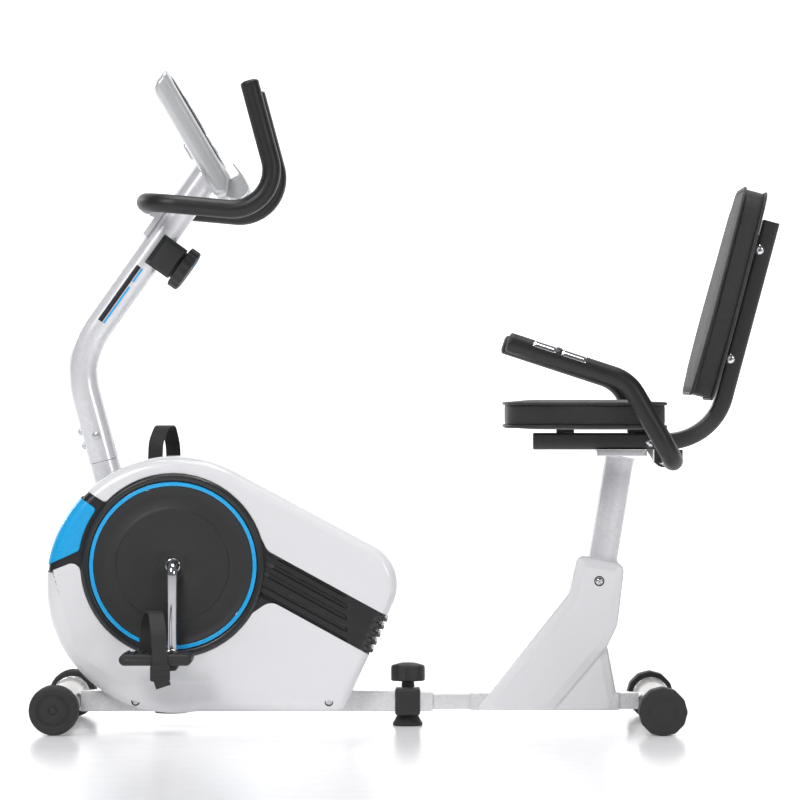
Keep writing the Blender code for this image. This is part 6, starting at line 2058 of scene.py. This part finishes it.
@dataclass
class RearCover(Assembly):
    """The moulded cover round the seat post's foot: a bevelled strap over a lower flare, and bolts."""

    half: float = 0.040
    bevel: float = 0.016
    sink: float = 0.0050
    rim: float = 0.0045
    step: float = 0.0085

    def moulded(
        self, outline: np.ndarray, bevelled: np.ndarray, spine: np.ndarray, high: float
    ) -> np.ndarray:
        """One moulded side as rings from a spine out to its outline, and down to the middle plane.

        The height falls in a straight bevel near the bevelled boundary, then in a quarter round.

        Args:
            outline: the closed outline.
            bevelled: the part of it that has the bevel.
            spine: a line inside it that the rings start from.
            high: the flat part's distance from the middle plane.

        Returns:
            The grid, with the rider's right as its positive side.
        """
        outline, spine = spaced(outline, 320, closed=True), spaced(spine, 120)
        root = spine[np.argmin(np.sum((outline[:, None] - spine[None]) ** 2, axis=2), axis=1)]
        share = 1 - (1 - np.linspace(0.03, 1, 48)) ** 1.8
        flat = root + (outline - root) * share[:, None, None]
        places = flat.reshape(-1, 2)
        far, _ = nearest(places, outline, closed=True)
        off, _ = nearest(places, bevelled)
        slope = self.sink * np.clip(1 - off / self.bevel, 0, 1)
        missing = np.clip(1 - far / self.rim, 0, 1)
        level = high - slope - self.rim * (1 - np.sqrt(1 - missing * missing))
        level = level.reshape(flat.shape[:2])
        wall = np.linspace(1, 0, 6)[1:, None] * level[-1] + 0.0002
        rows = [np.dstack([flat, level[..., None]])]
        rows += [np.dstack([np.broadcast_to(outline, (5, *outline.shape)), wall[..., None]])]
        return np.concatenate(rows)[..., [0, 2, 1]]

    def build(self) -> None:
        """Makes the strap and the flare on both sides, the bolts and the collar."""
        front = [
            ((0.112, 0.0287), 0.003),
            ((0.2675, 0.2242), 0.030),
            ((0.2825, 0.290), 0.015),
            ((0.3625, 0.274), 0.016),
        ]
        rear = [((0.3500, 0.1700), 0.060), ((0.3310, 0.1320), 0.060), ((0.2438, 0.0287), 0.003)]
        strap = rounded([*front, *rear][::-1], 0.06, closed=True)
        ends = [(front[0][0], 0.0), *front[1:], *rear[:-1], (rear[-1][0], 0.0)]
        upper = self.moulded(
            strap, rounded(ends, 0.06), np.array([[0.190, 0.050], [0.297, 0.178], [0.322, 0.262]]), self.half
        )
        corners = [
            ((0.222, 0.0287), 0.003),
            ((0.351, 0.0287), 0.003),
            ((0.3473, 0.0587), 0.004),
            ((0.3330, 0.1366), 0.004),
        ]
        corners += [((0.3180, 0.1420), 0.006)]
        flare = rounded(corners, 0.1, closed=True)
        lower = self.moulded(
            flare,
            np.array([[0.351, 0.0287], [0.3473, 0.0587], [0.333, 0.1366]]),
            np.array([[0.275, 0.044], [0.325, 0.105]]),
            self.half - self.step,
        )
        for side, sign in SIDES.items():
            skins = [sheet(grid * [1, sign, 1]).outward() for grid in (upper, lower)]
            self.piece(f"rear_shell_{side}", skins, Look.WHITE, "rear_base", [f"rear_cover_{side}"])
            profile = rounded(
                [
                    ((0.0086, -0.002), 0),
                    ((0.0086, 0.0010), 0.0006),
                    ((0.0066, 0.0010), 0.0004),
                    ((0.0060, -0.0005), 0),
                ],
                0.3,
            )
            head = rounded(
                [
                    ((0.0058, -0.002), 0),
                    ((0.0058, 0.0010), 0.0008),
                    ((0.0040, 0.0026), 0.003),
                    ((0.0020, 0.0030), 0.0006),
                    ((0.0016, 0.0016), 0.0003),
                    ((0.0003, 0.0016), 0),
                ],
                0.3,
            )
            origin = (0.3188, sign * (self.half - 0.0004), 0.2454)
            self.piece(
                f"cover_washer_{side}", [turned(profile, origin, (0, sign, 0), 40)], Look.GREY, "rear_base"
            )
            self.piece(
                f"cover_bolt_{side}", [turned(head, origin, (0, sign, 0), 40)], Look.CHROME, "rear_base"
            )
        collar = rounded(
            [
                ((0.0253, -0.004), 0),
                ((0.0275, -0.004), 0.001),
                ((0.0270, 0.0010), 0.002),
                ((0.0253, 0.0014), 0),
            ],
            0.3,
        )
        up = (math.sin(math.radians(9.6)), 0, math.cos(math.radians(9.6)))
        self.piece("cover_collar", [turned(collar, (0.3262, 0, 0.2820), up, 64)], Look.WHITE, "rear_base")


@dataclass
class Inner(Assembly):
    """The CAD nodes that keep their own shapes: each only gets its finish."""

    looks: dict[str, Finish] = field(
        default_factory=lambda: {
            "frame_mast": Look.DARK_COAT,
            "belt": Look.BELT,
            "crank_bearing_left": Look.SILVER,
            "crank_bearing_right": Look.SILVER,
            "drive_pulley": Look.GREY,
            "flywheel": Look.IRON,
            "flywheel_fork": Look.DARK_COAT,
            "magnet_bracket": Look.DARK_COAT,
            "handlebar_bracket": Look.PEARL,
            "armrest_bracket": Look.DARK_COAT,
            "seat_base": Look.WHITE_COAT,
            "seat_spacer_front": Look.GREY,
            "seat_spacer_rear": Look.GREY,
            "back_board": Look.GREY,
        }
    )

    def build(self) -> None:
        """Puts each finish on its node."""
        for name, look in self.looks.items():
            node = bpy.data.objects[name]
            for slot in node.material_slots:
                slot.material = look.material()
            LOG.info("%s: finish %s", name, look.name)


@dataclass
class Studio:
    """The pale floor, the backdrop, the lights and the camera."""

    distance: float = 8.5
    lens: float = 226.4
    aim: tuple[float, float] = (0.019, 0.5752)
    shift: tuple[float, float] = (-0.02625, -0.01875)

    def floor(self) -> None:
        """A pale, slightly glossy floor that curves up into a backdrop, as one swept line."""
        line = rounded([((-24.0, 0.0), 0), ((16.0, 0.0), 6.0), ((16.0, 22.0), 0)], 0.08)
        across = np.linspace(-27, 27, 12)
        grid = np.empty((len(line), len(across), 3))
        grid[..., 0], grid[..., 1], grid[..., 2] = across, line[:, :1], line[:, 1:]
        mesh = bpy.data.meshes.new("studio_floor")
        skin = sheet(grid, around=False, caps=False)
        mesh.from_pydata(skin.points.tolist(), [], skin.turned_round().quads.tolist())
        mesh.shade_smooth()
        tree = Tree("studio_paper")
        at = tree.place()
        tone = tree.mix(tree.noise(at, 1.4, 3.0), (0.94, 0.94, 0.945), (0.92, 0.92, 0.925))
        tree.feed(tree.shader.inputs["Base Color"], tone)
        tree.feed(tree.shader.inputs["Roughness"], 0.16 + tree.noise(at, 20.0) * 0.05)
        depth = tree.node("ShaderNodeSeparateXYZ", {}, {"Vector": at}, 1)
        glow = tree.mix(depth.between(0.8, 5.0), (0.16, 0.16, 0.165), (1.0, 1.0, 1.0))
        tree.feed(tree.shader.inputs["Emission Color"], glow)
        tree.shader.inputs["Emission Strength"].default_value = 0.9
        mesh.materials.append(tree.material)
        made = bpy.data.objects.new("studio_floor", mesh)
        bpy.context.scene.collection.objects.link(made)

    def light(self, name: str, place: Point, aim: Point, size: float, power: float) -> None:
        """One square area light, looking at a point."""
        lamp = bpy.data.lights.new(name, "AREA")
        lamp.shape, lamp.size, lamp.energy = "SQUARE", size, power
        made = bpy.data.objects.new(name, lamp)
        back = unit(np.asarray(place, float) - np.asarray(aim, float))
        right = unit(np.cross([0.0, 0.001, 1.0], back))
        up = np.cross(back, right)
        matrix = np.eye(4)
        matrix[:3, 0], matrix[:3, 1], matrix[:3, 2], matrix[:3, 3] = right, up, back, place
        made.matrix_world = Matrix(matrix.tolist())
        bpy.context.scene.collection.objects.link(made)

    def build(self) -> None:
        """Sets the floor, a soft key from above, two fills, the sky and the camera."""
        self.floor()
        self.light("key", (-2.6, -4.4, 3.8), (0, 0, 0.6), 2.0, 138)
        self.light("fill", (3.6, -4.0, 1.8), (0.2, 0, 0.5), 1.4, 40)
        self.light("top", (0.2, -0.3, 4.8), (0, 0, 0.0), 2.6, 115)
        self.light("rim", (-3.8, 2.6, 2.2), (0, 0, 0.6), 1.2, 24)
        world = bpy.data.worlds.new("studio_air")
        world.use_nodes = True
        sky = world.node_tree.nodes["Background"]
        sky.inputs["Color"].default_value = (0.95, 0.96, 1.0, 1.0)
        sky.inputs["Strength"].default_value = 0.14
        bpy.context.scene.world = world
        bpy.context.scene.view_settings.view_transform = "Standard"
        camera = bpy.data.objects.new("camera", bpy.data.cameras.new("camera"))
        camera.data.lens = self.lens
        camera.data.sensor_width = 36.0
        camera.data.shift_x, camera.data.shift_y = self.shift
        camera.location = (self.aim[0], -self.distance, self.aim[1])
        camera.rotation_euler = (math.pi / 2, 0, 0)
        bpy.context.scene.collection.objects.link(camera)
        bpy.context.scene.camera = camera


ASSEMBLIES = (Housing, Base, Drive, Post, Console, Bars, Tension, Seat, RearCover, Inner, Studio)


def main() -> None:
    """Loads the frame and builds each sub-assembly in order."""
    logging.basicConfig(level=logging.INFO, format="%(message)s")
    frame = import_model()
    for assembly in ASSEMBLIES:
        LOG.info("building %s", assembly.__name__)
        assembly().build()


if __name__ == "__main__":
    main()
